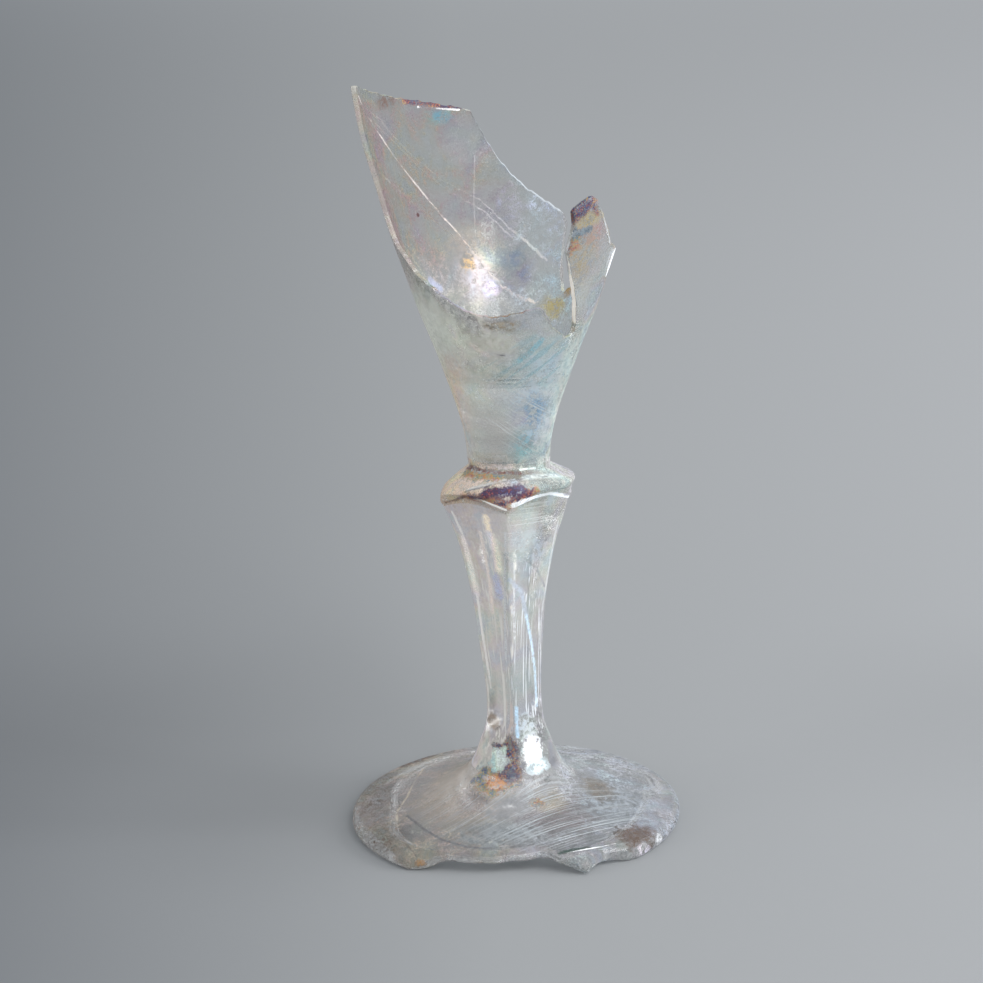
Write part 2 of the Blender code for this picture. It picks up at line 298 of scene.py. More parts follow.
def footLoops():
    depth, count = foot["roughBreak"]
    edge = lineThrough(foot["break"], frontTurn, left=foot["radius"], right=foot["radius"])
    edge = edge + depth * np.sin(np.radians(frontTurn * count)) * (edge < foot["radius"] - 0.05)
    loss = lineThrough(foot["loss"], frontTurn, left=0.0, right=0.0)
    fold = curveThrough(foot["fold"], frontTurn)
    toSole, toRim, least = foot["foldGaps"]
    sole = np.minimum(np.maximum(foot["soleRadius"], fold + toSole), edge - toRim)
    fold = np.minimum(fold, sole - least)
    under = footUnder(edge)
    inside, down = foot["foldRoot"]
    soleIn, soleUp = foot["breakSole"]
    whole, broken = foot["rimRound"]

    def mixed(radius, z, brokenRadius, brokenZ):
        return ring(turn, radius + (brokenRadius - radius) * loss, z + (brokenZ - z) * loss)

    inner = rings(foot["under"]) + [ring(turn, fold - inside, footUnder(fold))]
    step = [mixed(fold, footUnder(fold) - down, fold, footUnder(fold))]
    for out, up in foot["lip"]:
        step.append(mixed(fold + out, foot["foldLip"] + up, fold + out, footUnder(fold + out)))
    step.append(mixed(sole, 0.0, edge - soleIn, under + soleUp))
    rim = [mixed(edge - a, z, edge - b, under + up) for a, z, b, up in foot["rim"]]
    rim.append(mixed(edge - whole, footTop(edge - whole), edge - broken, footTop(edge - broken)))
    inward = [(edge - whole) * (1 - s) + foot["calmRadius"] * s for s in foot["outerRings"]]
    inward += [radius * allRound for radius in foot["topRings"]]
    top = [ring(turn, r, footTop(r), stemAside(footTop(r))) for r in inward]
    return inner, step, rim, top


def stemSection(corner, square):
    # radius of a four-sided section on its corner; the ridge's softness keeps its corners from being sharp
    power = 2 + (stem["corner"] - 2) * square
    soft = stem["ridge"]
    across = np.cos(np.radians(turn)) ** 2 + soft ** 2
    along = np.sin(np.radians(turn)) ** 2 + soft ** 2
    whole = (1 + soft ** 2) ** (power / 2) + soft ** power
    return corner * ((across ** (power / 2) + along ** (power / 2)) / whole) ** (-1 / power)


def stemRows():
    height, corner, square = np.array(stem["profile"]).T
    at = np.linspace(height[0], height[-1], mesher["stem"])
    corner = curveThrough(list(zip(height, corner)), at)
    square = np.interp(at, height, square)
    return np.array([ring(turn, stemSection(c, s), z, stemAside(z)) for z, c, s in zip(at, corner, square)])


def collarLoops():
    a = np.radians(turn)
    sides = (-np.sin(a), np.cos(a), np.sin(a), -np.cos(a))
    corners = np.abs(np.sin(2 * a))
    back, right = collar["archTilt"]
    arch = collar["arch"] + back * np.cos(a) + right * np.sin(a)
    arch = arch + collar["archRise"] * corners ** collar["archShape"]
    shares = np.stack([np.clip(side, 0, 1) ** 2 for side in sides], axis=1)
    loops = [ring(turn, stemSection(radius, square), arch + up) for radius, square, up in collar["shoulder"]]
    loops[0][:, 2] -= collar["archUnder"] * (1 - (1 - corners) ** 2)
    for k, four in enumerate(collar["rings"]):
        radius, height = (shares @ np.array(four)).T
        if k == 0:
            height = height + collar["bulge"] * corners
        loops.append(ring(turn, radius, height, bowl["shift"] * k / 3))
    return loops


def bowlRing(at, height, inset):
    radius = curveThrough(bowl["outside"], height) - inset
    return ring(at, radius, height, bowl["shift"] + bowl["lean"] * (height - bowl["leanFrom"]))


def wallRing(share, inset, lift=0.0):
    # share 0 is where the wall is still whole, 1 the broken edge; each column leans to its own end
    at = turn + (edgeTurn - turn) * share
    return bowlRing(at, bowl["wholeTo"] + (edgeHeight - bowl["wholeTo"]) * share + lift, inset)


def bowlParts():
    rows, thick, extra = mesher["wall"], bowl["wall"], bowl["wallLow"] - bowl["wall"]
    low = np.linspace(bowl["base"], bowl["wholeTo"], rows)[1:]
    bulge = {s: bowl["lipBulge"] * math.sin(math.pi * s) * (1 + s) for s in bowl["lip"]}
    return {
        "base": [bowlRing(turn, z * allRound, 0.0) for z in low],
        "outside": [wallRing(s, 0.0) for s in np.linspace(mesher["wallStart"], 1, rows)],
        "lip": [wallRing(1.0, thick * s, lift) for s, lift in bulge.items()],
        "inside": [wallRing(s, thick + extra * (1 - s) ** 2) for s in np.linspace(1, 0, rows)],
        "hollow": [bowlRing(turn, z * allRound, depth) for z, depth in bowl["hollow"]],
    }


def glassSkin():
    inner, step, rim, top = footLoops()
    shoulder = collarLoops()
    parts = {
        "pontil": rings(foot["pontil"]),
        "under": loft(inner, mesher["under"]),
        "step": loft(step, mesher["step"]),
        "rim": loft(rim, mesher["rim"]),
        "top": loft(top, mesher["top"]),
        "stem": stemRows(),
        "collar": [shoulder[0], *loft(shoulder[1:], mesher["collar"])],
        **bowlParts(),
    }
    ends = np.cumsum([len(rows) for rows in parts.values()]).tolist()
    starts = dict(zip(parts, [0] + ends))
    return np.concatenate([np.array(rows) for rows in parts.values()]), starts, dict(zip(parts, ends))


skin, starts, ends = glassSkin()
floorAside = bowl["shift"] + bowl["lean"] * (bowl["floor"] - bowl["leanFrom"])
# the frame stands with the middle of its box over the origin, so the axis of the foot lies a little in front
centre = np.array([(cadLow.x + cadHigh.x) / 2, cadHigh.y, cadLow.z]) / mm - np.array([0, foot["radius"], 0])
skin = skin + centre
poles = np.array([(0, 0, foot["middle"]), (floorAside, 0, bowl["floor"])]) + centre
print("surface worked out,", skin.shape[0], "rows of", skin.shape[1])

normals = surfaceNormals(skin)
hardRows = [ends["pontil"] - 1, starts["under"], starts["step"], starts["collar"] + 1, ends["outside"] - 1,
            starts["inside"]]
glass = makePiece("brokenWineGlass", skin - normals * mesher["inset"], poles=poles, hardRows=hardRows)
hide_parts("broken_wine_glass")


def skinPiece(name, firstPart, lastPart):
    # each skin goes on to the first row of the next part, so that neighbours meet
    rows = slice(starts[firstPart], ends[lastPart] + 1)
    return makePiece(name, skin[rows] - normals[rows] * mesher["filmInset"])


# cracks in the far wall: turn and height along each, how far it drops from the outside to the inside of the
# wall at its two ends, how far it turns, and how much it wanders
cracks = {
    "mainCrack": {"slant": (0.45, 0.45), "twist": 0, "waves": 0.16, "path": [
        (-97.3, 149.4), (-102.8, 146.2), (-108.7, 143.6), (-114.6, 140.1), (-121.2, 135.9), (-127.7, 132),
        (-132.5, 129.4), (-139.3, 126.1), (-144.7, 122.9), (-150.5, 120.4), (-156.2, 117.5), (-162.3, 114.6),
        (-168.7, 111.4), (-175.8, 108.9), (-187.6, 106.6), (-203.6, 105.3)]},
    "upperCrack": {"slant": (-0.5, 0.5), "twist": 0, "waves": 0.1, "path": [
        (-109, 145.4), (-117.6, 142.9), (-131, 136.3), (-147.7, 129.9), (-167.2, 125.3), (-182.2, 119.6),
        (-206, 113.4)]},
    "upperCrackPair": {"slant": (-0.4, 0.4), "twist": 0, "waves": 0.1, "path": [
        (-112, 142.9), (-124, 138.4), (-136, 132.9), (-150, 127.8), (-168, 123.4), (-184, 117.6)]},
    "lowerCrack": {"slant": (-0.45, -0.3), "twist": 0, "waves": 0.1, "path": [
        (-99.7, 134), (-114.8, 130.2), (-128.6, 125.6), (-140.7, 121.4), (-153.3, 117.2)]},
    "uprightCrack": {"slant": (0, 0), "twist": 0.9, "waves": 0.06, "path": [
        (-166.3, 134.2), (-164, 125.4), (-162.2, 115)]},
    "sideCrack": {"slant": (0.1, 0.1), "twist": 1.2, "waves": 0.08, "path": [
        (-161.6, 113.4), (-160.2, 109), (-158.7, 106)]},
    "forkCrack": {"slant": (0.2, 0.2), "twist": 0.4, "waves": 0.08, "path": [
        (-161.6, 113.4), (-168, 110), (-172.3, 107.3)]},
}
crackSheets = {
    "points": 240,
    "rows": 4,
    "degree": 0.4,  # length that a degree round the wall counts for
    "depth": (0.14, 0.82),  # under the outside of the wall, and how much deeper the inner side lies
    "waves": [(1.9, 1, 0), (4.3, 0.6, 1), (9.1, 0.35, 2)],  # rate, strength, shift
    "fade": (3, 0.15),  # distance from an end over which the slant grows, and the share it has at the end
    "innerDrop": 0.8,  # share of the slant that a crack has made where it comes out inside
}


def crackSheet(name, crack):
    # thin sheet inside the wall: one way along the crack, which wanders a little, the other through the wall
    at, height = np.array(crack["path"]).T
    place = np.concatenate([[0], np.cumsum(np.hypot(np.diff(at) * crackSheets["degree"], np.diff(height)))])
    along = np.linspace(0, place[-1], crackSheets["points"])
    at, height = np.interp(along, place, at), np.interp(along, place, height)
    height = height + crack["waves"] * ripples(crackSheets["waves"], along)
    growth, start = crackSheets["fade"]
    fade = np.minimum(1, np.minimum(along, place[-1] - along) / growth + start)
    drop = np.linspace(*crack["slant"], len(along)) * fade
    first, deeper = crackSheets["depth"]
    sheet = [bowlRing(at + crack["twist"] * s, height - drop * s, first + deeper * s)
             for s in np.linspace(0, 1, crackSheets["rows"])]
    return makePiece(name, np.array(sheet) + centre, closed=False)


def crackLine(name, step):
    # where a crack comes out on the inner face of the wall, as points for a streak
    drop = cracks[name]["slant"][0] * crackSheets["innerDrop"]
    return [bowlRing(at, z - drop, bowl["wall"]).tolist() for at, z in cracks[name]["path"][::step]]


skins = {
    "footFilm": ("rim", "top"),
    "stemFilm": ("stem", "stem"),
    "collarFilm": ("collar", "collar"),
    "bowlFilm": ("base", "outside"),
    "edgeFilm": ("lip", "lip"),
    "hollowFilm": ("inside", "hollow"),
    "foldFilm": ("step", "step"),
}
films = {name: [skinPiece(name, *parts)] for name, parts in skins.items()}
sheets = [crackSheet(name, crack) for name, crack in cracks.items()]
films["crackFilm"] = sheets[:1]
films["faintCrackFilm"] = sheets[1:]
print("pieces made")


def material(name):
    made = bpy.data.materials.new(name)
    made.use_nodes = True
    return made, made.node_tree, made.node_tree.nodes["Principled BSDF"]


def put(tree, value, socket):
    # a value may be a number, a colour, a direction or another node's output
    if isinstance(value, bpy.types.NodeSocket):
        tree.links.new(value, socket)
    else:
        socket.default_value = (*value, 1) if socket.type == "RGBA" and len(value) == 3 else value


def putAll(tree, values, sockets):
    for value, socket in zip(values, sockets):
        put(tree, value, socket)


def maths(tree, operation, *values):
    made = tree.nodes.new("ShaderNodeMath")
    made.operation = operation
    putAll(tree, values, made.inputs)
    return made.outputs[0]


def vectorMaths(tree, operation, *values, out=0):
    made = tree.nodes.new("ShaderNodeVectorMath")
    made.operation = operation
    putAll(tree, values, made.inputs)
    return made.outputs[out]


def blend(tree, share, first, second):
    made = tree.nodes.new("ShaderNodeMix")
    made.data_type = "RGBA"
    putAll(tree, (share, first, second), (made.inputs[0], *made.inputs[6:8]))
    return made.outputs[2]


def mixNumber(tree, share, first, second):
    made = tree.nodes.new("ShaderNodeMix")
    putAll(tree, (share, first, second), (made.inputs[0], *made.inputs[2:4]))
    return made.outputs[0]


def mixShaders(tree, share, first, second):
    made = tree.nodes.new("ShaderNodeMixShader")
    putAll(tree, (share, first, second), made.inputs)
    return made.outputs[0]


def stretchRange(tree, value, low, high, toLow=0.0, toHigh=1.0, kind="SMOOTHSTEP"):
    made = tree.nodes.new("ShaderNodeMapRange")
    made.interpolation_type = kind
    putAll(tree, (value, low, high, toLow, toHigh), made.inputs)
    return made.outputs[0]


def noise(tree, point, size, detail, rough, twist=0.0):
    # cloudy pattern whose features are about size across; twist swirls it
    made = tree.nodes.new("ShaderNodeTexNoise")
    put(tree, point, made.inputs["Vector"])
    made.inputs["Scale"].default_value = 1 / size
    made.inputs["Detail"].default_value = detail
    made.inputs["Roughness"].default_value = rough
    made.inputs["Distortion"].default_value = twist
    return made.outputs["Fac"]


def bumpFrom(tree, height, strength, shader):
    # fine relief, at most 0.3 mm high
    bump = tree.nodes.new("ShaderNodeBump")
    bump.inputs["Strength"].default_value = strength
    bump.inputs["Distance"].default_value = 0.3 * mm
    put(tree, height, bump.inputs["Height"])
    put(tree, bump.outputs[0], shader.inputs["Normal"])


def ramp(tree, value, stops):
    made = tree.nodes.new("ShaderNodeValToRGB")
    put(tree, value, made.inputs[0])
    bar = made.color_ramp.elements
    while len(bar) < len(stops):
        bar.new(0.5)
    for spot, (place, colour) in zip(bar, stops):
        spot.position = place
        spot.color = (*colour, 1)
    return made.outputs[0]


def newGroup(name, inputs, outputs):
    # an input's kind follows from what it starts as: a number, or three numbers for a direction or place
    group = bpy.data.node_groups.new(name, "ShaderNodeTree")
    for label, start in inputs.items():
        kind = "NodeSocketVector" if isinstance(start, tuple) else "NodeSocketFloat"
        group.interface.new_socket(label, in_out="INPUT", socket_type=kind).default_value = start
    for label, kind in outputs.items():
        group.interface.new_socket(label, in_out="OUTPUT", socket_type="NodeSocket" + kind)
    entry, leave = group.nodes.new("NodeGroupInput"), group.nodes.new("NodeGroupOutput")
    return group, entry.outputs, leave.inputs


def useGroup(tree, group, **values):
    made = tree.nodes.new("ShaderNodeGroup")
    made.node_tree = group
    for label, value in values.items():
        put(tree, value, made.inputs[label])
    return made.outputs


def groupPoint():
    # the place on the object in millimetres, from the middle of the foot
    group, _, leave = newGroup("glassPoint", {}, {"Point": "Vector"})
    where = group.nodes.new("ShaderNodeTexCoord")
    point = vectorMaths(group, "MULTIPLY", where.outputs["Object"], (1 / mm, 1 / mm, 1 / mm))
    put(group, vectorMaths(group, "SUBTRACT", point, tuple(centre)), leave["Point"])
    return group


def groupPatch():
    # 1 inside a ragged blob round Centre, falling to 0 at about Size from it
    inputs = {"Point": (0, 0, 0), "Centre": (0, 0, 0), "Size": (1, 1, 1), "Fray": 0.0, "Edge": 0.25}
    group, entry, leave = newGroup("patch", inputs, {"Mask": "Float"})
    offset = vectorMaths(group, "SUBTRACT", entry["Point"], entry["Centre"])
    away = vectorMaths(group, "LENGTH", vectorMaths(group, "DIVIDE", offset, entry["Size"]), out=1)
    away = maths(group, "ADD", entry["Fray"], away)
    inner = maths(group, "SUBTRACT", 1.0, entry["Edge"])
    outer = maths(group, "ADD", 1.0, entry["Edge"])
    put(group, stretchRange(group, away, inner, outer, 1.0, 0.0), leave["Mask"])
    return group


def groupStroke():
    # distance from a straight stroke; Slope is its direction divided by its length
    inputs = {"Point": (0, 0, 0), "From": (0, 0, 0), "Along": (0, 0, 1), "Slope": (0, 0, 1)}
    group, entry, leave = newGroup("stroke", inputs, {"Away": "Float"})
    offset = vectorMaths(group, "SUBTRACT", entry["Point"], entry["From"])
    share = maths(group, "MAXIMUM", vectorMaths(group, "DOT_PRODUCT", offset, entry["Slope"], out=1), 0.0)
    share = maths(group, "MINIMUM", share, 1.0)
    nearest = vectorMaths(group, "MULTIPLY", entry["Along"], share)
    put(group, vectorMaths(group, "DISTANCE", offset, nearest, out=1), leave["Away"])
    return group


def groupColours(name, stops):
    # colours of a thin layer as its thickness grows, coming round again at each whole number
    group, entry, leave = newGroup(name, {"Thickness": 0.5}, {"Colour": "Color"})
    put(group, ramp(group, maths(group, "FRACT", entry["Thickness"]), stops), leave["Colour"])
    return group


weathering = {
    # size of each pattern's features, its detail and roughness, and how much it swirls; clouds have their
    # size from each look
    "clouds": (1.0, 3, 0.6, 0.0),
    "mottle": (2.8, 3, 0.62, 0.4),
    "flakes": (1.3, 4, 0.7, 0.0),
    "grain": (0.36, 2, 0.7, 0.0),
    "wide": (11.0, 2, 0.5, 0.9),
    "thickness": (2.6, 0.9),  # shares of the wide pattern and of the flakes in how thick the layer is
    "torn": 0.6,  # share of the flakes in the ragged outline of a blob, the rest is mottle
    "frayed": 0.4,  # share of the grain in that of a streak, the rest is flakes
    "tornBy": 3.6,  # how far a ragged outline strays, in sizes of the blob
    "frayedBy": 4,  # and in widths of the streak
    "streakFade": (0.5, 1.4),  # distance from its middle over which a streak fades, in its widths
    "fibres": (1.0, 1.5, 0.5),  # pattern of fine lines, before it is drawn out
    "fibreFade": 0.07,  # how soft they are
    "crustMix": (0.34, 0.66),  # stretch of the mottle over which the crust's colours change
    "levelMix": (0.32, 0.68),  # and of each pattern over which the haze varies
    "gaps": ("Flakes", 0.38, 0.58),  # pattern that a mark's gaps follow, and the stretch they open over
    "specks": ("Grain", 0.46, 0.6),
    "edgeOnPower": 3.0,  # how quickly a skin gets denser as it turns edge on
    "densest": 0.96,
}


def groupWeather():
    # the shared pattern of the weathered skin: clouds, flaking, fine grain, and how thick the layer is
    outputs = ("Clouds", "Mottle", "Flakes", "Grain", "Thickness", "Torn", "Frayed")
    inputs = {"Point": (0, 0, 0), "Cloud": 9.0}
    group, entry, leave = newGroup("weathering", inputs, dict.fromkeys(outputs, "Float"))
    scaled = vectorMaths(group, "DIVIDE", entry["Point"], entry["Cloud"])
    clouds = noise(group, scaled, *weathering["clouds"])
    names = ("mottle", "flakes", "grain", "wide")
    mottle, flakes, grain, wide = (noise(group, entry["Point"], *weathering[name]) for name in names)
    wideShare, flakeShare = weathering["thickness"]
    thickness = maths(group, "MULTIPLY_ADD", wide, wideShare, maths(group, "MULTIPLY", flakes, flakeShare))
    torn = maths(group, "SUBTRACT", mixNumber(group, weathering["torn"], mottle, flakes), 0.5)
    frayed = maths(group, "SUBTRACT", mixNumber(group, weathering["frayed"], flakes, grain), 0.5)
    putAll(group, (clouds, mottle, flakes, grain, thickness, torn, frayed), leave)
    return group


def groupScratches():
    # long thin lines across the surface: noise turned by Turn and stretched to Size along the turned axes
    inputs = {"Point": (0, 0, 0), "Turn": (0, 0, 0), "Size": (40, 0.3, 40), "Amount": 0.6}
    group, entry, leave = newGroup("scratches", inputs, {"Mask": "Float"})
    spin = group.nodes.new("ShaderNodeVectorRotate")
    spin.rotation_type = "EULER_XYZ"
    put(group, entry["Point"], spin.inputs["Vector"])
    put(group, entry["Turn"], spin.inputs["Rotation"])
    drawnOut = vectorMaths(group, "DIVIDE", spin.outputs[0], entry["Size"])
    lines = noise(group, drawnOut, *weathering["fibres"])
    full = maths(group, "ADD", entry["Amount"], weathering["fibreFade"])
    put(group, stretchRange(group, lines, entry["Amount"], full), leave["Mask"])
    return group


sheenStops = [(0, (0.56, 0.38, 0.6)), (0.14, (0.36, 0.42, 0.74)), (0.28, (0.3, 0.6, 0.76)),
              (0.42, (0.44, 0.72, 0.6)), (0.56, (0.7, 0.72, 0.44)), (0.7, (0.8, 0.6, 0.4)),
              (0.84, (0.76, 0.46, 0.48)), (1, (0.56, 0.38, 0.6))]
crustStops = [(0, (0.035, 0.02, 0.05)), (0.16, (0.07, 0.035, 0.11)), (0.3, (0.07, 0.08, 0.22)),
              (0.42, (0.08, 0.2, 0.24)), (0.54, (0.28, 0.26, 0.1)), (0.66, (0.48, 0.31, 0.1)),
              (0.78, (0.46, 0.14, 0.07)), (0.9, (0.17, 0.035, 0.08)), (1, (0.035, 0.02, 0.05))]
groups = {
    "point": groupPoint(),
    "patch": groupPatch(),
    "stroke": groupStroke(),
    "sheen": groupColours("pearlColours", sheenStops),
    "crust": groupColours("crustColours", crustStops),
    "weather": groupWeather(),
    "scratches": groupScratches(),
}

clear = {
    "colour": (0.975, 0.985, 0.98),
    "bend": 1.5,
    "shade": (0.66, 0.67, 0.68),  # light left after each wall, for shadows
    "bounce": (0.88, 0.89, 0.89),  # and for light coming off other things
    "smooth": 0.07,  # roughness where it is clear, and where it is clouded
    "cloudy": 0.2,
    "clouds": (6.0, 4, 0.6),  # size, detail and roughness of each pattern
    "drawn": (1.0, 3, 0.5),
    "wavy": (5.0, 2, 0.5),
    "cloudMix": (0.35, 0.7),
    "drawnOut": (1.1, 1.1, 0.05),  # the glass was drawn upwards, so its faint lines run that way
    "drawnShare": 0.35,
    "bump": 0.3,
}


def clearGlass():
    made, tree, shader = material("clearGlass")
    point = useGroup(tree, groups["point"])["Point"]
    put(tree, clear["colour"], shader.inputs["Base Color"])
    put(tree, clear["bend"], shader.inputs["IOR"])
    put(tree, 1.0, shader.inputs["Transmission Weight"])
    clouds = noise(tree, point, *clear["clouds"])
    rough = stretchRange(tree, clouds, *clear["cloudMix"], clear["smooth"], clear["cloudy"])
    put(tree, rough, shader.inputs["Roughness"])
    upwards = tree.nodes.new("ShaderNodeMapping")
    put(tree, point, upwards.inputs["Vector"])
    put(tree, clear["drawnOut"], upwards.inputs["Scale"])
    drawn = noise(tree, upwards.outputs[0], *clear["drawn"])
    wavy = noise(tree, point, *clear["wavy"])
    bumpFrom(tree, maths(tree, "MULTIPLY_ADD", drawn, clear["drawnShare"], wavy), clear["bump"], shader)
    # shadows and light bounced off other things pass straight through, a little dimmed
    ray = tree.nodes.new("ShaderNodeLightPath").outputs
    dimmed = tree.nodes.new("ShaderNodeBsdfTransparent")
    put(tree, blend(tree, ray["Is Shadow Ray"], clear["bounce"], clear["shade"]), dimmed.inputs["Color"])
    either = maths(tree, "MAXIMUM", ray["Is Shadow Ray"], ray["Is Diffuse Ray"])
    seen = mixShaders(tree, either, shader.outputs[0], dimmed.outputs[0])
    put(tree, seen, tree.nodes["Material Output"].inputs["Surface"])
    return made


def blob(at, size, colour, alpha, ragged=1.0, edge=0.5, **more):
    # ragged patch round a place; a colour of two numbers is a stretch of the crust's colours
    return {"at": at, "size": size, "colour": colour, "alpha": alpha, "ragged": ragged, "edge": edge, **more}


def streak(path, width, colour, alpha, ragged=1.0, **more):
    # stroke along a path
    return {"path": path, "width": width, "colour": colour, "alpha": alpha, "ragged": ragged, **more}


def rubbed(at, size, turn, fibre, amount, colour, alpha, edge=0.5, **more):
    # fine lines inside a patch: how they are turned, how long and thin they are, and how few
    patch = blob(at, size, colour, alpha, 0.4, edge, **more)
    return {**patch, "turn": turn, "fibre": fibre, "amount": amount}


def crustTint(tree, weather, spot):
    # dark iridescent crust: thickness colours broken up by flakes and grain
    layer = stretchRange(tree, weather["Mottle"], *weathering["crustMix"], *spot["colour"])
    for pattern, share in (("Flakes", 1.0), ("Grain", spot.get("mixed", 2.6))):
        layer = maths(tree, "MULTIPLY_ADD", maths(tree, "SUBTRACT", weather[pattern], 0.5), share, layer)
    return useGroup(tree, groups["crust"], Thickness=layer)["Colour"]


def streakMask(tree, point, weather, spot):
    away = None
    for start, end in zip(spot["path"], spot["path"][1:]):
        along = np.subtract(end, start)
        part = useGroup(tree, groups["stroke"], Point=point, From=start, Along=tuple(along.tolist()),
                        Slope=tuple((along / (along @ along)).tolist()))["Away"]
        away = part if away is None else maths(tree, "MINIMUM", away, part)
    fray = maths(tree, "MULTIPLY", weather["Frayed"], spot["ragged"] * weathering["frayedBy"])
    away = maths(tree, "MULTIPLY_ADD", away, 1 / spot["width"], fray)
    return stretchRange(tree, away, *weathering["streakFade"], 1.0, 0.0)


def markMask(tree, point, weather, spot):
    if "path" in spot:
        return streakMask(tree, point, weather, spot)
    fray = maths(tree, "MULTIPLY", weather["Torn"], spot["ragged"] * weathering["tornBy"])
    mask = useGroup(tree, groups["patch"], Point=point, Centre=spot["at"], Size=spot["size"], Fray=fray,
                    Edge=spot["edge"])["Mask"]
    if "fibre" in spot:
        turned = tuple(math.radians(angle) for angle in spot["turn"])
        lines = useGroup(tree, groups["scratches"], Point=point, Turn=turned, Size=spot["fibre"],
                         Amount=spot["amount"])["Mask"]
        mask = maths(tree, "MULTIPLY", lines, mask)
    return mask


def markStrength(tree, weather, spot):
    # gaps lets the mark flake off, specks breaks it into grains; both are shares lost
    strength = spot["alpha"]
    for key in ("gaps", "specks"):
        if key in spot:
            pattern, low, high = weathering[key]
            left = stretchRange(tree, weather[pattern], low, high, 1 - spot[key], 1.0)
            strength = maths(tree, "MULTIPLY", strength, left)
    return strength


def haze(tree, point, weather, look):
    # colour and strength of the skin between its four corners, wandering with the clouds
    split = tree.nodes.new("ShaderNodeSeparateXYZ")
    put(tree, point, split.inputs[0])
    stray = maths(tree, "MULTIPLY", maths(tree, "SUBTRACT", weather["Clouds"], 0.5), look["stray"])
    side = stretchRange(tree, maths(tree, "ADD", split.outputs[0], stray), *look["across"])
    rise = stretchRange(tree, maths(tree, "ADD", split.outputs[look["axis"]], stray), *look["along"])
    colours, levels = zip(*look["corners"])
    colour = blend(tree, rise, blend(tree, side, *colours[:2]), blend(tree, side, *colours[2:]))
    level = mixNumber(tree, rise, mixNumber(tree, side, *levels[:2]), mixNumber(tree, side, *levels[2:]))
    for pattern, share in (("Clouds", look["patchy"]), ("Flakes", look["flaky"]), ("Grain", look["grainy"])):
        varied = stretchRange(tree, weather[pattern], *weathering["levelMix"], 1 - share, 1 + share)
        level = maths(tree, "MULTIPLY", level, varied)
    return colour, level


def weatheredFilm(name, look):
    # see-through skin: haze, pearly colours, then its marks one over the other
    made, tree, shader = material(name)
    point = useGroup(tree, groups["point"])["Point"]
    weather = useGroup(tree, groups["weather"], Point=point, Cloud=look["cloud"])
    sheen = useGroup(tree, groups["sheen"], Thickness=weather["Thickness"])["Colour"]
    colour, level = haze(tree, point, weather, look)
    colour = blend(tree, look["sheen"], colour, sheen)
    metal, rough, glow = look["metal"], look["rough"], look["glow"]
    for spot in look["marks"]:
        mask = markMask(tree, point, weather, spot)
        tint = crustTint(tree, weather, spot) if len(spot["colour"]) == 2 else spot["colour"]
        if "pearl" in spot:
            tint = blend(tree, spot["pearl"], tint, sheen)
        colour = blend(tree, mask, colour, tint)
        level = mixNumber(tree, mask, level, markStrength(tree, weather, spot))
        metal = mixNumber(tree, mask, metal, spot.get("metal", 0.0))
        rough = mixNumber(tree, mask, rough, spot.get("rough", 0.45))
        glow = mixNumber(tree, mask, glow, spot.get("glow", 0.0))
    # seen edge on, more of the skin lies in the way
    lean = tree.nodes.new("ShaderNodeLayerWeight")
    lean.inputs["Blend"].default_value = 0.5
    turnedAway = maths(tree, "POWER", lean.outputs["Facing"], weathering["edgeOnPower"])
    thicker = maths(tree, "MULTIPLY_ADD", turnedAway, look["edgeOn"], 1.0)
    alpha = maths(tree, "MINIMUM", maths(tree, "MULTIPLY", level, thicker), weathering["densest"])
    # painted glow: emission, though the skin is no lamp, standing in for light the glass carries to its
    # broken edges and cracks and for its glints
    paintedEmission = tree.nodes.new("ShaderNodeVectorMath")
    paintedEmission.operation = "SCALE"
    put(tree, colour, paintedEmission.inputs[0])
    put(tree, glow, paintedEmission.inputs["Scale"])
    sockets = {"Base Color": colour, "Alpha": alpha, "Metallic": metal, "Roughness": rough,
               "Emission Color": paintedEmission.outputs[0], "Emission Strength": 1.0}
    for label, value in sockets.items():
        put(tree, value, shader.inputs[label])
    bumpFrom(tree, weather["Flakes"], look["bump"], shader)
    return made


# every look adds where its haze goes from left to right (across) and from low to high (along), and the
# haze's colour and strength at its corners: low left, low right, high left, high right
plainSkin = {
    "cloud": 7.0,  # size of its clouds, and how far they push the haze about
    "stray": 16.0,
    "axis": 2,  # axis that low and high are measured on
    "patchy": 0.35,  # how much clouds, flakes and grain vary the haze
    "flaky": 0.35,
    "grainy": 0.16,
    "sheen": 0.3,  # share of pearly colour
    "metal": 0.04,
    "rough": 0.4,
    "bump": 0.1,
    "edgeOn": 2.0,  # how much denser it looks edge on
    # painted glow: emission over the whole skin
    "glow": 0.0,
    "marks": [],
}

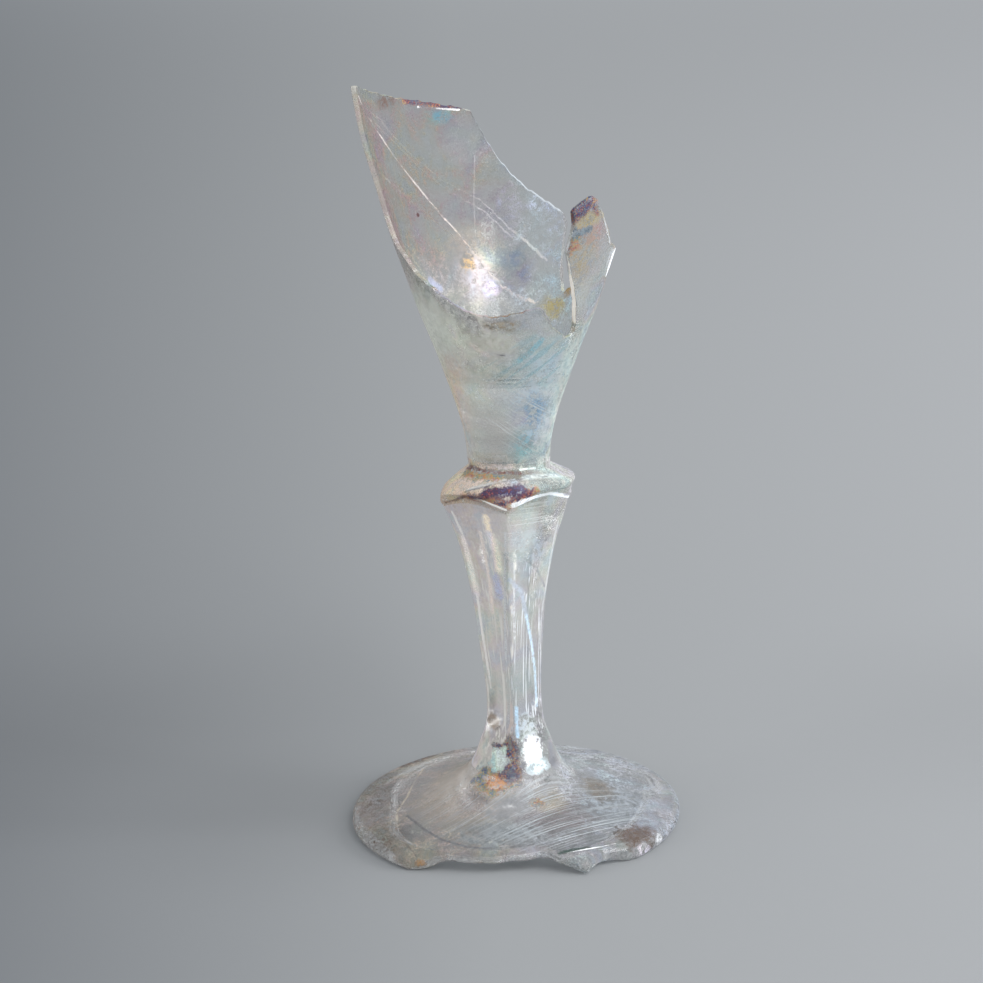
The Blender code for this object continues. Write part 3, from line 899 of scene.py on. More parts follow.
neckMarks = [
    # glint, ochre soil and a dark red line where the bowl meets the collar
    streak([(2.9, -8.3, 76.6), (5.9, -6.6, 76.5)], 0.25, (0.85, 0.97, 0.97), 0.9, gaps=0.6, ragged=0.9,
           metal=0.4, rough=0.25, glow=0.35),
    streak([(-7.4, -3.4, 75.4), (-5.4, -7.2, 75.5), (-1.6, -9.6, 75.8)], 1.7, (0.5, 0.8), 0.85, gaps=0.45,
           mixed=1.2),
    streak([(-7.8, -0.8, 75.6), (-6.1, -4.4, 76.3), (-4.6, -6.6, 76.3), (-1.1, -9, 76.3),
            (2.8, -9.2, 76.1)], 0.5, (0.16, 0.05, 0.04), 0.8, gaps=0.9),
]
baseMarks = [
    # orange and purple crust in front of the stem's foot, the orange with a little painted glow
    blob((-4.6, -9, 11.6), (5, 4.6, 2.8), (0.36, 0.78), 0.92, gaps=0.5, edge=0.25, mixed=1.6, rough=0.35),
    blob((-4, -9.4, 11.6), (2.2, 2.2, 1.3), (0.8, 0.32, 0.08), 0.6, gaps=0.9, ragged=1.2, edge=0.25,
         glow=0.1),
    blob((-1.2, -8.7, 13.2), (2.6, 2.4, 2), (-0.25, 0.25), 0.75, gaps=0.6, ragged=0.9, edge=0.25, mixed=2),
    blob((-0.6, -7.2, 16.8), (1.7, 2.2, 3.4), (-0.15, 0.1), 0.9, gaps=0.8, ragged=0.9, edge=0.25,
         metal=0.3),
    blob((-2.9, -6.6, 17.6), (2.2, 2.2, 1.1), (-0.15, 0.1), 0.8, gaps=0.9, ragged=0.9, edge=0.25,
         metal=0.3),
    # pale green pearl inside the crust, with a painted glow
    blob((-3.2, -7, 15.7), (1.9, 2.2, 2.5), (0.6, 0.86, 0.82), 0.92, gaps=0.4, specks=0.35, ragged=1.2,
         edge=0.25, pearl=0.3, metal=0.3, rough=0.3, glow=0.2),
    # bright glare to the right of it, and a thin blue glint running up
    blob((3.6, -6.4, 16.6), (2.1, 2.8, 3.6), (0.94, 0.97, 1), 0.96, ragged=0.7, edge=0.25, metal=0.5,
         rough=0.3, glow=0.5),
    blob((4.8, -6.8, 13.8), (2.6, 2.4, 1.4), (0.8, 0.94, 1), 0.85, gaps=0.6, ragged=0.8, edge=0.25,
         metal=0.4, rough=0.3, glow=0.3),
    streak([(0.7, -5.4, 26), (0.8, -6.3, 20)], 0.4, (0.55, 0.78, 1), 0.8, gaps=0.4, ragged=0.8, glow=0.22),
    # brownish patch on the left, painted shade that dims the glass's highlight there
    blob((-4.3, -3.2, 22.2), (1.7, 2.6, 1.8), (0.44, 0.35, 0.28), 0.8, gaps=0.5, ragged=0.6, edge=0.25),
]
bowlMarks = [
    # red-brown and ochre crust on the small shard
    blob((16.3, -17.8, 123.6), (5, 5, 4.6), (0.37, 0.2, 0.16), 0.55, gaps=0.7, edge=0.4, pearl=0.15),
    blob((14, -19.3, 122.8), (1.5, 3, 4.2), (0.46, 0.8), 0.8, gaps=0.8, edge=0.4, mixed=1.4),
    # glint on the shard's outer corner, and a painted pale highlight along its right edge
    streak([(21.8, -6.8, 118), (21.3, -6.4, 116.2)], 1, (0.9, 0.95, 1), 0.9, gaps=0.5, glow=0.5),
    streak([(22.4, -7, 119.5), (21.4, -6.5, 116.6), (20.6, -6, 114.4)], 0.35, (0.9, 0.95, 1), 0.92,
           ragged=0.5, rough=0.3, glow=0.55),
    streak([(19.2, -17.6, 129.2), (20.2, -15.4, 125.9), (21.3, -11.2, 121.2)], 0.16, (0.7, 0.75, 0.79),
           0.4),
    # whitish haze on the left, lifted with a painted glow, yellowish on the right
    blob((-14, -9, 105), (7, 9, 9), (0.82, 0.85, 0.76), 0.45, gaps=0.3, ragged=0.7, edge=0.9, glow=0.11),
    blob((15.4, -13.5, 112), (2.2, 4, 4.5), (0.68, 0.65, 0.52), 0.22, ragged=0.6, edge=0.7),
    # soil on the small shard, with a dark line in it
    blob((16.6, -19.2, 127.4), (4, 4, 1.7), (0.46, 0.36, 0.16), 0.8, gaps=0.5, specks=0.4, ragged=0.7,
         edge=0.4),
    streak([(14.3, -20.1, 125.4), (14.2, -19.9, 124.8), (17.2, -18.1, 125.4)], 0.7, (0.05, 0.09, 0.14), 0.6,
           gaps=0.9),
    blob((15.6, -16.6, 118.4), (3.2, 4, 4), (0.42, 0.32, 0.16), 0.5, gaps=0.8, edge=0.6),
    # purple crust on the shard's tip
    streak([(13.4, -21.2, 128), (15.4, -20.8, 129.2), (17.5, -20.2, 130.4)], 1.5, (-0.28, 0.22), 0.92,
           gaps=0.45, ragged=1.3),
    streak([(18.2, -19.2, 129.6), (18.9, -18.2, 127.9)], 0.7, (0.7, 1), 0.8, gaps=0.5, ragged=0.7),
    # blue, teal and violet bloom low on the right
    blob((7, -12, 97.4), (6, 7, 5.5), (0.5, 0.76, 0.86), 0.42, gaps=0.4, ragged=0.8, edge=0.8, pearl=0.2),
    blob((5.5, -9.5, 87), (5, 6, 7), (0.3, 0.56, 0.72), 0.5, gaps=0.4, ragged=0.8, edge=0.8, pearl=0.2),
    blob((6, -9, 88.5), (2.6, 4, 4), (0.06, 0.22, 0.4), 0.55, gaps=0.9, edge=0.6),
    blob((2.8, -8.7, 81.6), (3.2, 3, 3.6), (0.08, 0.46, 0.56), 0.6, gaps=0.8, pearl=0.15),
    blob((2.9, -10.1, 87.4), (1.8, 3, 1.8), (0.26, 0.28, 0.52), 0.4, gaps=0.8),
    # brownish haze low on the left, pinkish gold over it, and a pale green pearl, the last two with a faint
    # painted glow
    blob((-2.5, -9.5, 84), (4.5, 5, 6), (0.42, 0.38, 0.34), 0.36, ragged=0.4, edge=0.9),
    blob((-9, -6, 92), (2.6, 6, 9), (0.95, 0.77, 0.6), 0.58, gaps=0.5, ragged=0.9, edge=0.6, pearl=0.2,
         glow=0.05),
    blob((-4.5, -9, 92.5), (2.2, 4, 2.2), (0.8, 0.88, 0.78), 0.5, gaps=0.6, pearl=0.4, glow=0.05),
    # blue and pale scratches
    rubbed((5.5, -13, 99.5), (7, 8, 5), (0, 32, 0), (8, 8, 0.8), 0.54, (0.26, 0.6, 0.72), 0.3, edge=0.7),
    streak([(2.6, -14.2, 99.6), (5, -14.4, 101), (7.6, -14.8, 103.8)], 0.7, (0.22, 0.56, 0.68), 0.5,
           gaps=0.7),
    rubbed((3.5, -9, 85), (6, 8, 9), (0, -38, 0), (12, 12, 0.2), 0.6, (0.8, 0.85, 0.86), 0.3, edge=0.6),
    # pearly patches under the broken edge, with a faint painted glow
    blob((-1.8, -15.6, 103.2), (3.8, 3, 3.2), (0.88, 0.9, 0.76), 0.42, gaps=0.2, ragged=0.6, edge=0.9,
         pearl=0.3, metal=0.2, rough=0.3, glow=0.08),
    streak([(-5.8, -14, 103.2), (-4.2, -14.3, 101.8), (-2.7, -14.3, 101.1)], 0.6, (0.96, 0.88, 0.8), 0.5,
           gaps=0.5, ragged=1.3, pearl=0.3, glow=0.1),
    streak([(-9.6, -13, 106.5), (-8, -12.5, 102.4), (-7.4, -11.6, 99)], 0.8, (0.9, 0.92, 0.86), 0.4,
           gaps=0.6, ragged=1.4, pearl=0.4, glow=0.08),
    streak([(-3.9, -17.1, 108.8), (-2.6, -16.4, 106.4)], 0.9, (0.88, 0.9, 0.84), 0.5, ragged=0.9, pearl=0.3,
           glow=0.1),
    # soil under the broken edge
    blob((0.5, -17.3, 107.4), (3.6, 2, 1.2), (0.4, 0.28, 0.14), 0.55, gaps=0.85, edge=0.4),
    # thin pink line, and a short dark scratch
    streak([(-11.5, -8.5, 99), (-8.5, -10.5, 95.6), (-3, -13, 94.6)], 0.3, (0.86, 0.7, 0.6), 0.55,
           ragged=0.6),
    streak([(-0.9, -15, 101.2), (0.5, -15, 101)], 0.22, (0.1, 0.09, 0.12), 0.85, ragged=0.5),
]
bowlLook = {
    **plainSkin,
    "sheen": 0.24,
    "across": (-10, 9),
    "along": (98, 116),
    # low on the left the haze is painted lighter and denser, painted light where the wall looks dark through
    # the glass
    "corners": [((0.88, 0.9, 0.77), 0.44), ((0.66, 0.76, 0.77), 0.26), ((0.28, 0.25, 0.225), 0.13),
                ((0.44, 0.42, 0.38), 0.16)],
    "marks": bowlMarks + neckMarks,
}

hollowMarks = [
    # dark blue bruise
    blob((3.8, 18.9, 112), (3.4, 4, 4.8), (0.09, 0.12, 0.27), 0.5, gaps=0.8, ragged=0.9, pearl=0.2,
         metal=0.1, rough=0.4),
    # glare inside the far wall, with gold and violet in it
    blob((-4.6, 17.7, 111.2), (3.8, 5, 6), (0.9, 0.91, 0.86), 0.64, gaps=0.6, ragged=0.8, edge=0.7,
         pearl=0.4, metal=0.7, rough=0.31, glow=0.03),
    blob((-6.2, 17.3, 113.4), (1.4, 2, 2.4), (0.86, 0.56, 0.24), 0.6, gaps=0.9, edge=0.4, metal=0.5,
         rough=0.3),
    blob((-1.6, 18, 107.4), (1.9, 3, 2.6), (0.74, 0.74, 0.98), 0.7, gaps=0.7, edge=0.25, pearl=0.4,
         metal=0.7, rough=0.27, glow=0.1),
    # yellow soil in the notch between the shards
    blob((11.4, 12.8, 104.6), (3, 3.4, 2.2), (0.66, 0.5, 0.1), 0.6, gaps=0.8, ragged=0.9, edge=0.4),
    blob((14.1, 12.4, 108.2), (1.3, 2, 2.2), (0.46, 0.28, 0.07), 0.75, gaps=0.7, ragged=0.8, edge=0.4),
    # teal fleck under the top edge
    blob((-11.1, 24.9, 142.2), (3.2, 3, 1.6), (0.02, 0.24, 0.28), 0.86, gaps=0.8, edge=0.4, pearl=0.2,
         metal=0.2),
    # main crack where it comes out on the inside, with a faint painted glow
    streak(crackLine("mainCrack", 3), 0.22, (0.88, 0.8, 0.76), 0.5, gaps=0.5, ragged=0.9, glow=0.05),
    # violet glint, dark speck and gold fleck
    streak([(-13.6, 8.6, 111.6), (-12, 10.4, 109.6)], 0.9, (0.66, 0.7, 0.96), 0.4, gaps=0.4, ragged=0.8,
           glow=0.06),
    blob((-15.7, 13.2, 124.2), (0.45, 0.45, 0.45), (0.1, 0.05, 0.05), 0.9, ragged=0.1, edge=0.25),
    blob((5.7, 21.5, 119), (0.5, 1, 1.9), (0.72, 0.5, 0.18), 0.55, ragged=0.5, edge=0.25),
    # brown haze, and soil in the top left corner
    blob((-8, 20, 117), (5, 4, 3.4), (0.56, 0.42, 0.32), 0.34, gaps=0.8),
    blob((-21.5, 15.5, 146.6), (3.6, 3, 1.6), (0.14, 0.07, 0.05), 0.6, gaps=0.9),
    # purple crust along the top edge with a painted glint under it
    streak([(-17.6, 19.6, 146.1), (-10.6, 24.4, 144.5), (-7.6, 25.8, 143.9)], 0.6, (-0.12, 0.1), 0.92,
           gaps=0.5, mixed=1.6),
    streak([(-15, 21.5, 144.7), (-10.6, 24.3, 143.9), (-6.8, 26, 143.3)], 0.22, (0.95, 0.95, 0.97), 0.9,
           gaps=0.4, ragged=0.8, glow=0.28),
]
hollowLook = {
    **plainSkin,
    "patchy": 0.6,
    "flaky": 0.8,
    "grainy": 0.5,
    "sheen": 0.17,
    "across": (-2, 12),
    "along": (100, 124),
    "corners": [((0.7, 0.74, 0.66), 0.28), ((0.64, 0.78, 0.86), 0.29), ((0.16, 0.125, 0.115), 0.24),
                ((0.64, 0.8, 1), 0.38)],
    "marks": hollowMarks,
}

edgeMarks = [
    # grey edge of the tall shard, darker beside the notch
    streak([(-6, 28, 141.5), (-3.4, 27.2, 140), (0.8, 25.6, 133), (6.6, 23.5, 127), (10.5, 21.6, 124.6),
            (13.4, 19.6, 122.8)], 1.4, (0.52, 0.57, 0.62), 0.6, ragged=0.5),
    streak([(13.6, 19.4, 121.8), (14, 17.4, 118.5), (13, 14.4, 110.4)], 1.3, (0.19, 0.2, 0.21), 0.5,
           ragged=0.6),
    # painted light on the edge where the notch meets the small shard: a cream line with a painted glow
    streak([(13.3, -18.4, 120.6), (13.7, -16, 115.8)], 0.55, (0.95, 0.9, 0.8), 0.85, ragged=0.5, glow=0.2),
    streak([(13.7, -16, 115.8), (13.9, -14.3, 112.6), (14.1, -11.3, 106.5)], 0.95, (0.95, 0.9, 0.82), 0.9,
           ragged=0.4, glow=0.26),
    # edge of the small shard: right side, purple tip, and a painted glint on its corner
    streak([(18.2, -19.6, 131.6), (20.1, -15.2, 126.2), (21.1, -11, 121.4)], 1.4, (0.5, 0.54, 0.57), 0.4,
           ragged=0.8),
    streak([(12.6, -21.4, 127), (15.2, -21, 129.6), (17.7, -20.3, 131.3)], 1.8, (-0.25, 0.3), 0.95,
           gaps=0.2, ragged=0.5),
    streak([(22.3, -7, 119.8), (21.4, -6, 116.8), (21, -5.5, 115.2)], 1.8, (0.88, 0.94, 1), 0.95,
           ragged=0.4, rough=0.3, glow=0.6),
    # purple crust on the top edge, grey tip at the left
    streak([(-17.6, 21, 146.4), (-14, 23.6, 145.4), (-7.6, 26.2, 144)], 1.7, (-0.14, 0.1), 0.94, gaps=0.5,
           ragged=0.9, mixed=1.6),
    blob((-27.5, 2.5, 151), (2, 3, 1.6), (0.5, 0.49, 0.44), 0.7, ragged=0.4, edge=0.25),
    # soil on the front of the broken edge
    blob((2, -18, 108.5), (5, 4, 2), (0.5, 0.7), 0.7, gaps=0.7, ragged=0.4, edge=0.25),
]
edgeLook = {
    **plainSkin,
    "across": (-13, -5),
    "along": (108, 118),
    # high on the left the edge is painted dark and thin, painted shade over its lit lip
    "corners": [((0.3, 0.3, 0.25), 0.45), ((0.3, 0.26, 0.2), 0.6), ((0.28, 0.28, 0.25), 0.35),
                ((0.5, 0.54, 0.58), 0.5)],
    "marks": edgeMarks,
}

collarMarks = [
    # soil under the bowl
    blob((1.5, -9.3, 76), (3.6, 3, 0.9), (0.26, 0.22, 0.15), 0.5, gaps=0.9, edge=0.25),
    # blue-white glint on the right shoulder
    streak([(3.5, -10.6, 75.8), (7.8, -8, 75.4), (10.6, -5.2, 74.6)], 0.7, (0.8, 0.9, 0.96), 0.6, gaps=0.6,
           ragged=0.9, pearl=0.25, rough=0.3, glow=0.12),
    # painted highlight along the crease of the left shoulder, with a dark line of painted shade in the crease
    # under it that runs round to the right
    streak([(-8, -9.5, 73.4), (-4.1, -11.1, 74.7), (-0.2, -11.1, 75.6)], 0.4, (0.74, 0.73, 0.7), 0.5,
           ragged=0.5),
    streak([(-8, -9.5, 72.9), (-4.1, -11.2, 74.2), (-0.2, -11.3, 75.1), (2.8, -10.7, 75.3),
            (7.8, -7.8, 74.9), (10.8, -5, 74)], 0.25, (0.2, 0.19, 0.2), 0.55, ragged=0.4),
    # orange and red crust over the arches
    streak([(-8, -9.4, 71.8), (-4.2, -11.8, 72.2), (-1.9, -12.6, 71.7), (0.1, -13, 70.9),
            (1.7, -12.7, 71.5), (2.8, -12.4, 72.2), (5.6, -11.2, 73.2)], 1.1, (0.62, 0.98), 0.9, gaps=0.5,
           ragged=0.9, mixed=1.2),
    streak([(-12, -1.8, 68.9), (-10.1, -5, 70.2), (-8.1, -9.3, 71.8)], 0.4, (0.75, 0.95), 0.8, gaps=0.5,
           ragged=0.8),
    # purple crust in front
    streak([(-7, -10.2, 72.3), (-3.8, -11.8, 72.8)], 0.7, (0.02, 0.16), 0.85, gaps=0.4, mixed=1.6),
    streak([(-3.8, -11.8, 73.1), (0.4, -12.4, 73.4), (3, -11.9, 73.7)], 1.25, (0.02, 0.14), 0.96, mixed=1.1,
           rough=0.35),
    # painted highlight along the lower lip over the arches
    streak([(1.5, -13, 70.7), (3.6, -12, 71.3), (5.6, -10.3, 71.7), (8.7, -7, 71.6), (10.7, -3.8, 70.2),
            (12.2, -0.6, 68.7)], 0.6, (0.9, 0.95, 1), 0.92, gaps=0.5, ragged=0.9, rough=0.3, glow=0.4),
    streak([(-0.2, -13.1, 69.9), (-1.9, -12.7, 70.6), (-4.2, -11.9, 71.3), (-6.1, -11, 71.6),
            (-8.1, -9.1, 71.1)], 0.28, (0.92, 0.92, 0.88), 0.9, ragged=0.4, rough=0.3, glow=0.25),
]
collarLook = {
    **plainSkin,
    "flaky": 0.6,
    "grainy": 0.5,
    "across": (-7, 6),
    "along": (70, 76),
    "corners": [((0.88, 0.7, 0.44), 0.62), ((0.5, 0.6, 0.64), 0.34), ((0.8, 0.68, 0.48), 0.54),
                ((0.52, 0.62, 0.67), 0.34)],
    "marks": collarMarks + neckMarks,
}

stemMarks = [
    # fine pale lines along the stem on the left, painted streaks of light; fine lines across it at the
    # shoulder
    rubbed((-4, -6, 42), (5, 8, 28), (0, 90, 0), (50, 0.5, 0.5), 0.56, (0.97, 0.93, 0.86), 0.55, edge=0.3,
           rough=0.3, glow=0.1),
    rubbed((5, -9, 64), (5.5, 7, 6), (0, -8, 0), (14, 14, 0.2), 0.58, (0.94, 0.97, 0.98), 0.5, rough=0.3),
    # blue-grey patch, and blue-white lines along the middle, painted streaks of light with a faint painted
    # glow
    blob((5, -6.5, 60), (4, 5, 3.5), (0.52, 0.6, 0.72), 0.4, gaps=0.8),
    rubbed((3, -5, 36), (4.5, 7, 24), (0, 88, 0), (40, 0.35, 0.35), 0.58, (0.9, 0.95, 1), 0.55, edge=0.3,
           rough=0.3, glow=0.08),
    # light down the left edge
    streak([(-10.7, -2.5, 66.9), (-8.4, -2.6, 61.2), (-6.9, -2.1, 53.6), (-6, -1.5, 44.7),
            (-5.2, -1.8, 37.3), (-4.6, -2.3, 29.3)], 0.4, (0.95, 0.92, 0.88), 0.75, ragged=0.5, glow=0.15),
    streak([(-8.6, -2.2, 61), (-7.8, -1.9, 56.5), (-6.5, -1.8, 49.7)], 0.9, (1, 0.96, 0.92), 0.75, gaps=0.5,
           specks=0.3, ragged=1.2, pearl=0.35, glow=0.3),
    # gold, cream and blue lights on the left face
    streak([(-4, -9.5, 67.6), (-3.6, -9, 65)], 0.8, (1, 0.84, 0.52), 0.9, gaps=0.4, specks=0.4, ragged=1.3,
           pearl=0.2, glow=0.5),
    streak([(-3.2, -8.7, 63.6), (-2.3, -8.3, 60), (-1.9, -7.7, 56.5)], 1.1, (0.97, 0.95, 0.82), 0.85,
           gaps=0.5, specks=0.4, ragged=1.3, pearl=0.45, glow=0.45),
    streak([(-2.3, -6.8, 54.1), (-1.8, -6.7, 50.6)], 1, (0.62, 0.69, 0.96), 0.6, gaps=0.6, ragged=1.2,
           pearl=0.3, glow=0.15),
    # pinkish line and the pale ridge in front, painted highlights with a painted glow
    streak([(-5.2, -6.9, 63.8), (-4.5, -6, 59.4), (-3.7, -5.3, 53.3), (-3.4, -4.5, 46.3)], 0.5,
           (0.94, 0.8, 0.72), 0.7, gaps=0.5, glow=0.2),
    streak([(-0.4, -11.4, 64.8), (-0.7, -9, 57.4), (-1, -6.6, 46.3), (-1.1, -5.7, 36.5)], 0.25,
           (0.92, 0.93, 0.94), 0.45, gaps=0.6, glow=0.1),
    streak([(1.5, -10.1, 63.7), (1, -7.6, 52.6), (0.7, -6.3, 40.8)], 0.28, (0.92, 0.95, 0.98), 0.5,
           gaps=0.6, glow=0.1),
    # light down the right edge, and a dark line across the right face
    streak([(10.1, -1.7, 64), (8.8, -0.8, 57.6), (7.4, -0.6, 50.1), (6.3, -1, 44.1), (5.5, -1.4, 36.8)],
           0.35, (0.86, 0.9, 0.94), 0.4, gaps=0.4),
    streak([(2.6, -7.7, 58.8), (5.5, -4, 55.1), (7.1, -1.1, 50.3)], 0.35, (0.34, 0.37, 0.41), 0.35,
           ragged=0.6),
    # blue curve down the right face, with a painted glow lower down
    streak([(0.2, -8.4, 54.1), (2.4, -6.1, 50.8), (3.2, -4.5, 45.2)], 0.6, (0.68, 0.79, 0.95), 0.45,
           gaps=0.4, glow=0.05),
    streak([(3.2, -4.5, 45.2), (4.1, -3.2, 38.8), (4.6, -2.2, 32.4), (4.7, -2.2, 25.2)], 0.45,
           (0.62, 0.82, 1), 0.7, gaps=0.5, rough=0.3, glow=0.2),
    # cream fleck with a painted glow, and cyan haze at the top
    streak([(1.2, -9.6, 61.5), (1.3, -8.2, 56.5)], 0.5, (0.97, 0.95, 0.88), 0.6, gaps=0.6, ragged=1.2,
           glow=0.2),
    blob((3.3, -8.2, 62.2), (3, 4, 4), (0.7, 0.85, 0.9), 0.36, gaps=0.5, ragged=0.9, edge=0.6),
    # teal patch with a painted glow, and reddish lines at the foot of the stem
    blob((2.6, -4.6, 21.5), (2.2, 3, 3.2), (0.66, 0.88, 0.92), 0.75, gaps=0.8, ragged=0.9, edge=0.25,
         pearl=0.3, metal=0.3, rough=0.3, glow=0.2),
    rubbed((-1, -5.8, 24), (1.8, 3, 3.5), (0, 90, 0), (14, 0.4, 0.4), 0.53, (0.86, 0.7, 0.64), 0.5,
           edge=0.3),
]
stemLook = {
    **plainSkin,
    "cloud": 5.0,
    "stray": 5.0,
    "patchy": 0.3,
    "flaky": 0.12,
    "grainy": 0.08,
    "across": (-2, 1.5),
    "along": (28, 50),
    # the left corners are painted lighter and denser than the right, painted light on the side the lamps
    # leave dim
    "corners": [((0.94, 0.91, 0.87), 0.38), ((0.62, 0.71, 0.79), 0.18), ((0.98, 0.94, 0.87), 0.6),
                ((0.74, 0.83, 0.86), 0.24)],
    "marks": stemMarks + baseMarks,
}

footMarks = [
    # brown haze left of the stem
    blob((-11, -7, 9), (11, 14, 6), (0.5, 0.41, 0.335), 0.4, gaps=0.2, ragged=0.5, edge=0.7),
    # painted light and shade where the inner edge of the folded rim shows through: a pale line and dark lines
    streak([(-19.4, 15.1, 5), (-22.4, -0.9, 5.6), (-24.5, -7.3, 4.8), (-24, -14.4, 4.2)], 0.3,
           (0.56, 0.49, 0.4), 0.5, gaps=0.4, ragged=0.8),
    streak([(-24, -14.4, 4.2), (-22.4, -20.5, 3.7), (-20.1, -25.5, 3.1)], 0.25, (0.2, 0.17, 0.15), 0.45,
           gaps=0.4, ragged=0.8),
    streak([(-22.2, -10, 5.1), (-18.8, -16.4, 4.9), (-15.1, -21.4, 4.6), (-10.1, -25, 4.5),
            (-5.4, -26.2, 4.5)], 0.32, (0.13, 0.12, 0.13), 0.5, gaps=0.4, ragged=0.7),
    # dark specks, and whitish haze in front and on the right
    blob((-8.5, -11, 8.5), (3.4, 4, 3), (0.3, 0.18, 0.14), 0.5, specks=0.9, ragged=0.8),
    blob((0, -21.5, 5.6), (10, 3.4, 3), (0.56, 0.61, 0.66), 0.3, gaps=0.8, edge=0.6),
    blob((20, -7, 5.6), (7, 10, 4), (0.52, 0.58, 0.66), 0.3, gaps=0.8, edge=0.6),
    # brown stains
    blob((7.9, -16.5, 6.7), (7, 7, 4), (0.26, 0.2, 0.21), 0.36, gaps=0.6, ragged=1.4),
    blob((6.8, -12.6, 8.3), (3, 3.4, 2.6), (0.34, 0.26, 0.15), 0.4, gaps=0.7, ragged=1.2),
    blob((17, -3.6, 7.1), (3.4, 4.4, 2.6), (0.24, 0.19, 0.14), 0.36, gaps=0.7, ragged=1.2),
    # rub marks across the front, the right and all over, the right ones with a faint painted glow
    rubbed((6, -14, 6), (24, 14, 6.5), (0, 0, -32), (22, 0.2, 22), 0.57, (0.66, 0.73, 0.78), 0.36),
    rubbed((14, -21, 4.5), (11, 6, 3), (0, 0, -29), (30, 0.3, 30), 0.58, (0.8, 0.88, 0.92), 0.5, glow=0.03),
    rubbed((8, -4, 6), (24, 24, 8), (0, 0, -30), (24, 0.25, 24), 0.63, (0.54, 0.56, 0.58), 0.3, edge=0.6),
    # dark patch on the right of the rim, with glints at its edge
    blob((23.8, -20.6, 3.2), (4.6, 4.2, 2.2), (0.12, 0.075, 0.05), 0.88, gaps=0.5, specks=0.6, ragged=1.2,
         edge=0.25),
    blob((25, -23, 1.6), (2.4, 1.6, 1.3), (0.76, 0.84, 0.96), 0.75, gaps=0.95, specks=0.5, ragged=1.2,
         edge=0.25, pearl=0.35, glow=0.12),
    blob((28.4, -18.4, 1.8), (1, 1.8, 1), (0.84, 0.87, 0.92), 0.6, gaps=0.9, edge=0.25, glow=0.04),
    # painted shade: a matt grey patch in front of the stem that dims the glass's highlight there
    blob((-1.7, -14.4, 8.2), (5, 4, 2.6), (0.24, 0.245, 0.26), 0.8, gaps=0.2, ragged=0.9, edge=0.6,
         rough=0.9),
    # rusty chip on the left of the break
    blob((-19.4, -26.8, 1.9), (1.2, 0.9, 1), (0.4, 0.22, 0.09), 0.75, gaps=0.6, ragged=0.9, edge=0.25),
    # dark speckled marks round the left of the rim
    streak([(-29.2, -15.6, 2.9), (-25, -21.7, 2.9)], 1.1, (0.07, 0.04, 0.03), 0.8, specks=1),
    blob((-27, -16.5, 3), (5, 6.4, 2.4), (0.09, 0.055, 0.04), 0.85, gaps=0.7, specks=1, edge=0.6),
    blob((-29, 2, 3.2), (5, 15, 2.6), (0.1, 0.065, 0.05), 0.75, gaps=0.8, specks=1, edge=0.6),
    streak([(-24, 21, 3.2), (-18, 26, 3.2)], 1.3, (0.14, 0.09, 0.07), 0.6, gaps=0.9),
    # orange fleck
    blob((4.2, -13.3, 8.4), (1.6, 1.3, 1.4), (0.45, 0.95), 0.75, gaps=0.8, ragged=0.9, edge=0.25),
    # dark green scratch along the break, and a bright line beside it that is a painted highlight
    streak([(8.2, -28.2, 3.9), (10.6, -27.1, 4), (14.2, -26.1, 3.9)], 0.6, (0.04, 0.07, 0.06), 0.8,
           gaps=0.7, ragged=0.8),
    streak([(9.5, -28, 3.6), (16.5, -25.4, 3.9), (20, -23.6, 3.9)], 0.22, (0.92, 0.94, 0.96), 0.8,
           ragged=0.7, glow=0.15),
]
footLook = {
    **plainSkin,
    "cloud": 6.0,
    "stray": 24.0,
    "patchy": 0.6,
    "flaky": 0.6,
    "grainy": 0.8,
    "sheen": 0.12,
    "axis": 1,  # low is the front of the foot and high its back
    "across": (-16, 14),
    "along": (-24, 10),
    "corners": [((0.32, 0.28, 0.24), 0.27), ((0.34, 0.37, 0.4), 0.24), ((0.4, 0.35, 0.31), 0.21),
                ((0.5, 0.56, 0.63), 0.22)],
    "marks": footMarks + baseMarks,
}
foldLook = {
    **plainSkin,
    "across": (-16, 14),
    "along": (0, 4),
    "corners": [((0.6, 0.54, 0.45), 0.35), ((0.6, 0.62, 0.64), 0.5)] * 2,
}
# cracks: pale sheets in the wall, lit by a painted glow
crackLook = {
    **plainSkin,
    "cloud": 4.0,
    "sheen": 0.15,
    "edgeOn": 0.0,
    "glow": 0.22,
    "across": (-20, 12),
    "along": (100, 150),
    "corners": [((0.92, 0.76, 0.66), 0.85), ((0.92, 0.84, 0.8), 0.75), ((0.9, 0.84, 0.8), 0.75),
                ((0.86, 0.86, 0.86), 0.6)],
}
faintCrackLook = {
    **crackLook,
    "glow": 0.18,
    "corners": [((0.9, 0.84, 0.8), 0.6), ((0.88, 0.86, 0.84), 0.5), ((0.88, 0.88, 0.86), 0.6),
                ((0.86, 0.88, 0.9), 0.55)],
}

looks = {
    "footFilm": footLook,
    "stemFilm": stemLook,
    "collarFilm": collarLook,
    "bowlFilm": bowlLook,
    "edgeFilm": edgeLook,
    "hollowFilm": hollowLook,
    "foldFilm": foldLook,
    "crackFilm": crackLook,
    "faintCrackFilm": faintCrackLook,
}

glass.data.materials.append(clearGlass())
for name, pieces in films.items():
    skinMaterial = weatheredFilm(name, looks[name])
    for piece in pieces:
        piece.data.materials.append(skinMaterial)
print("materials made")

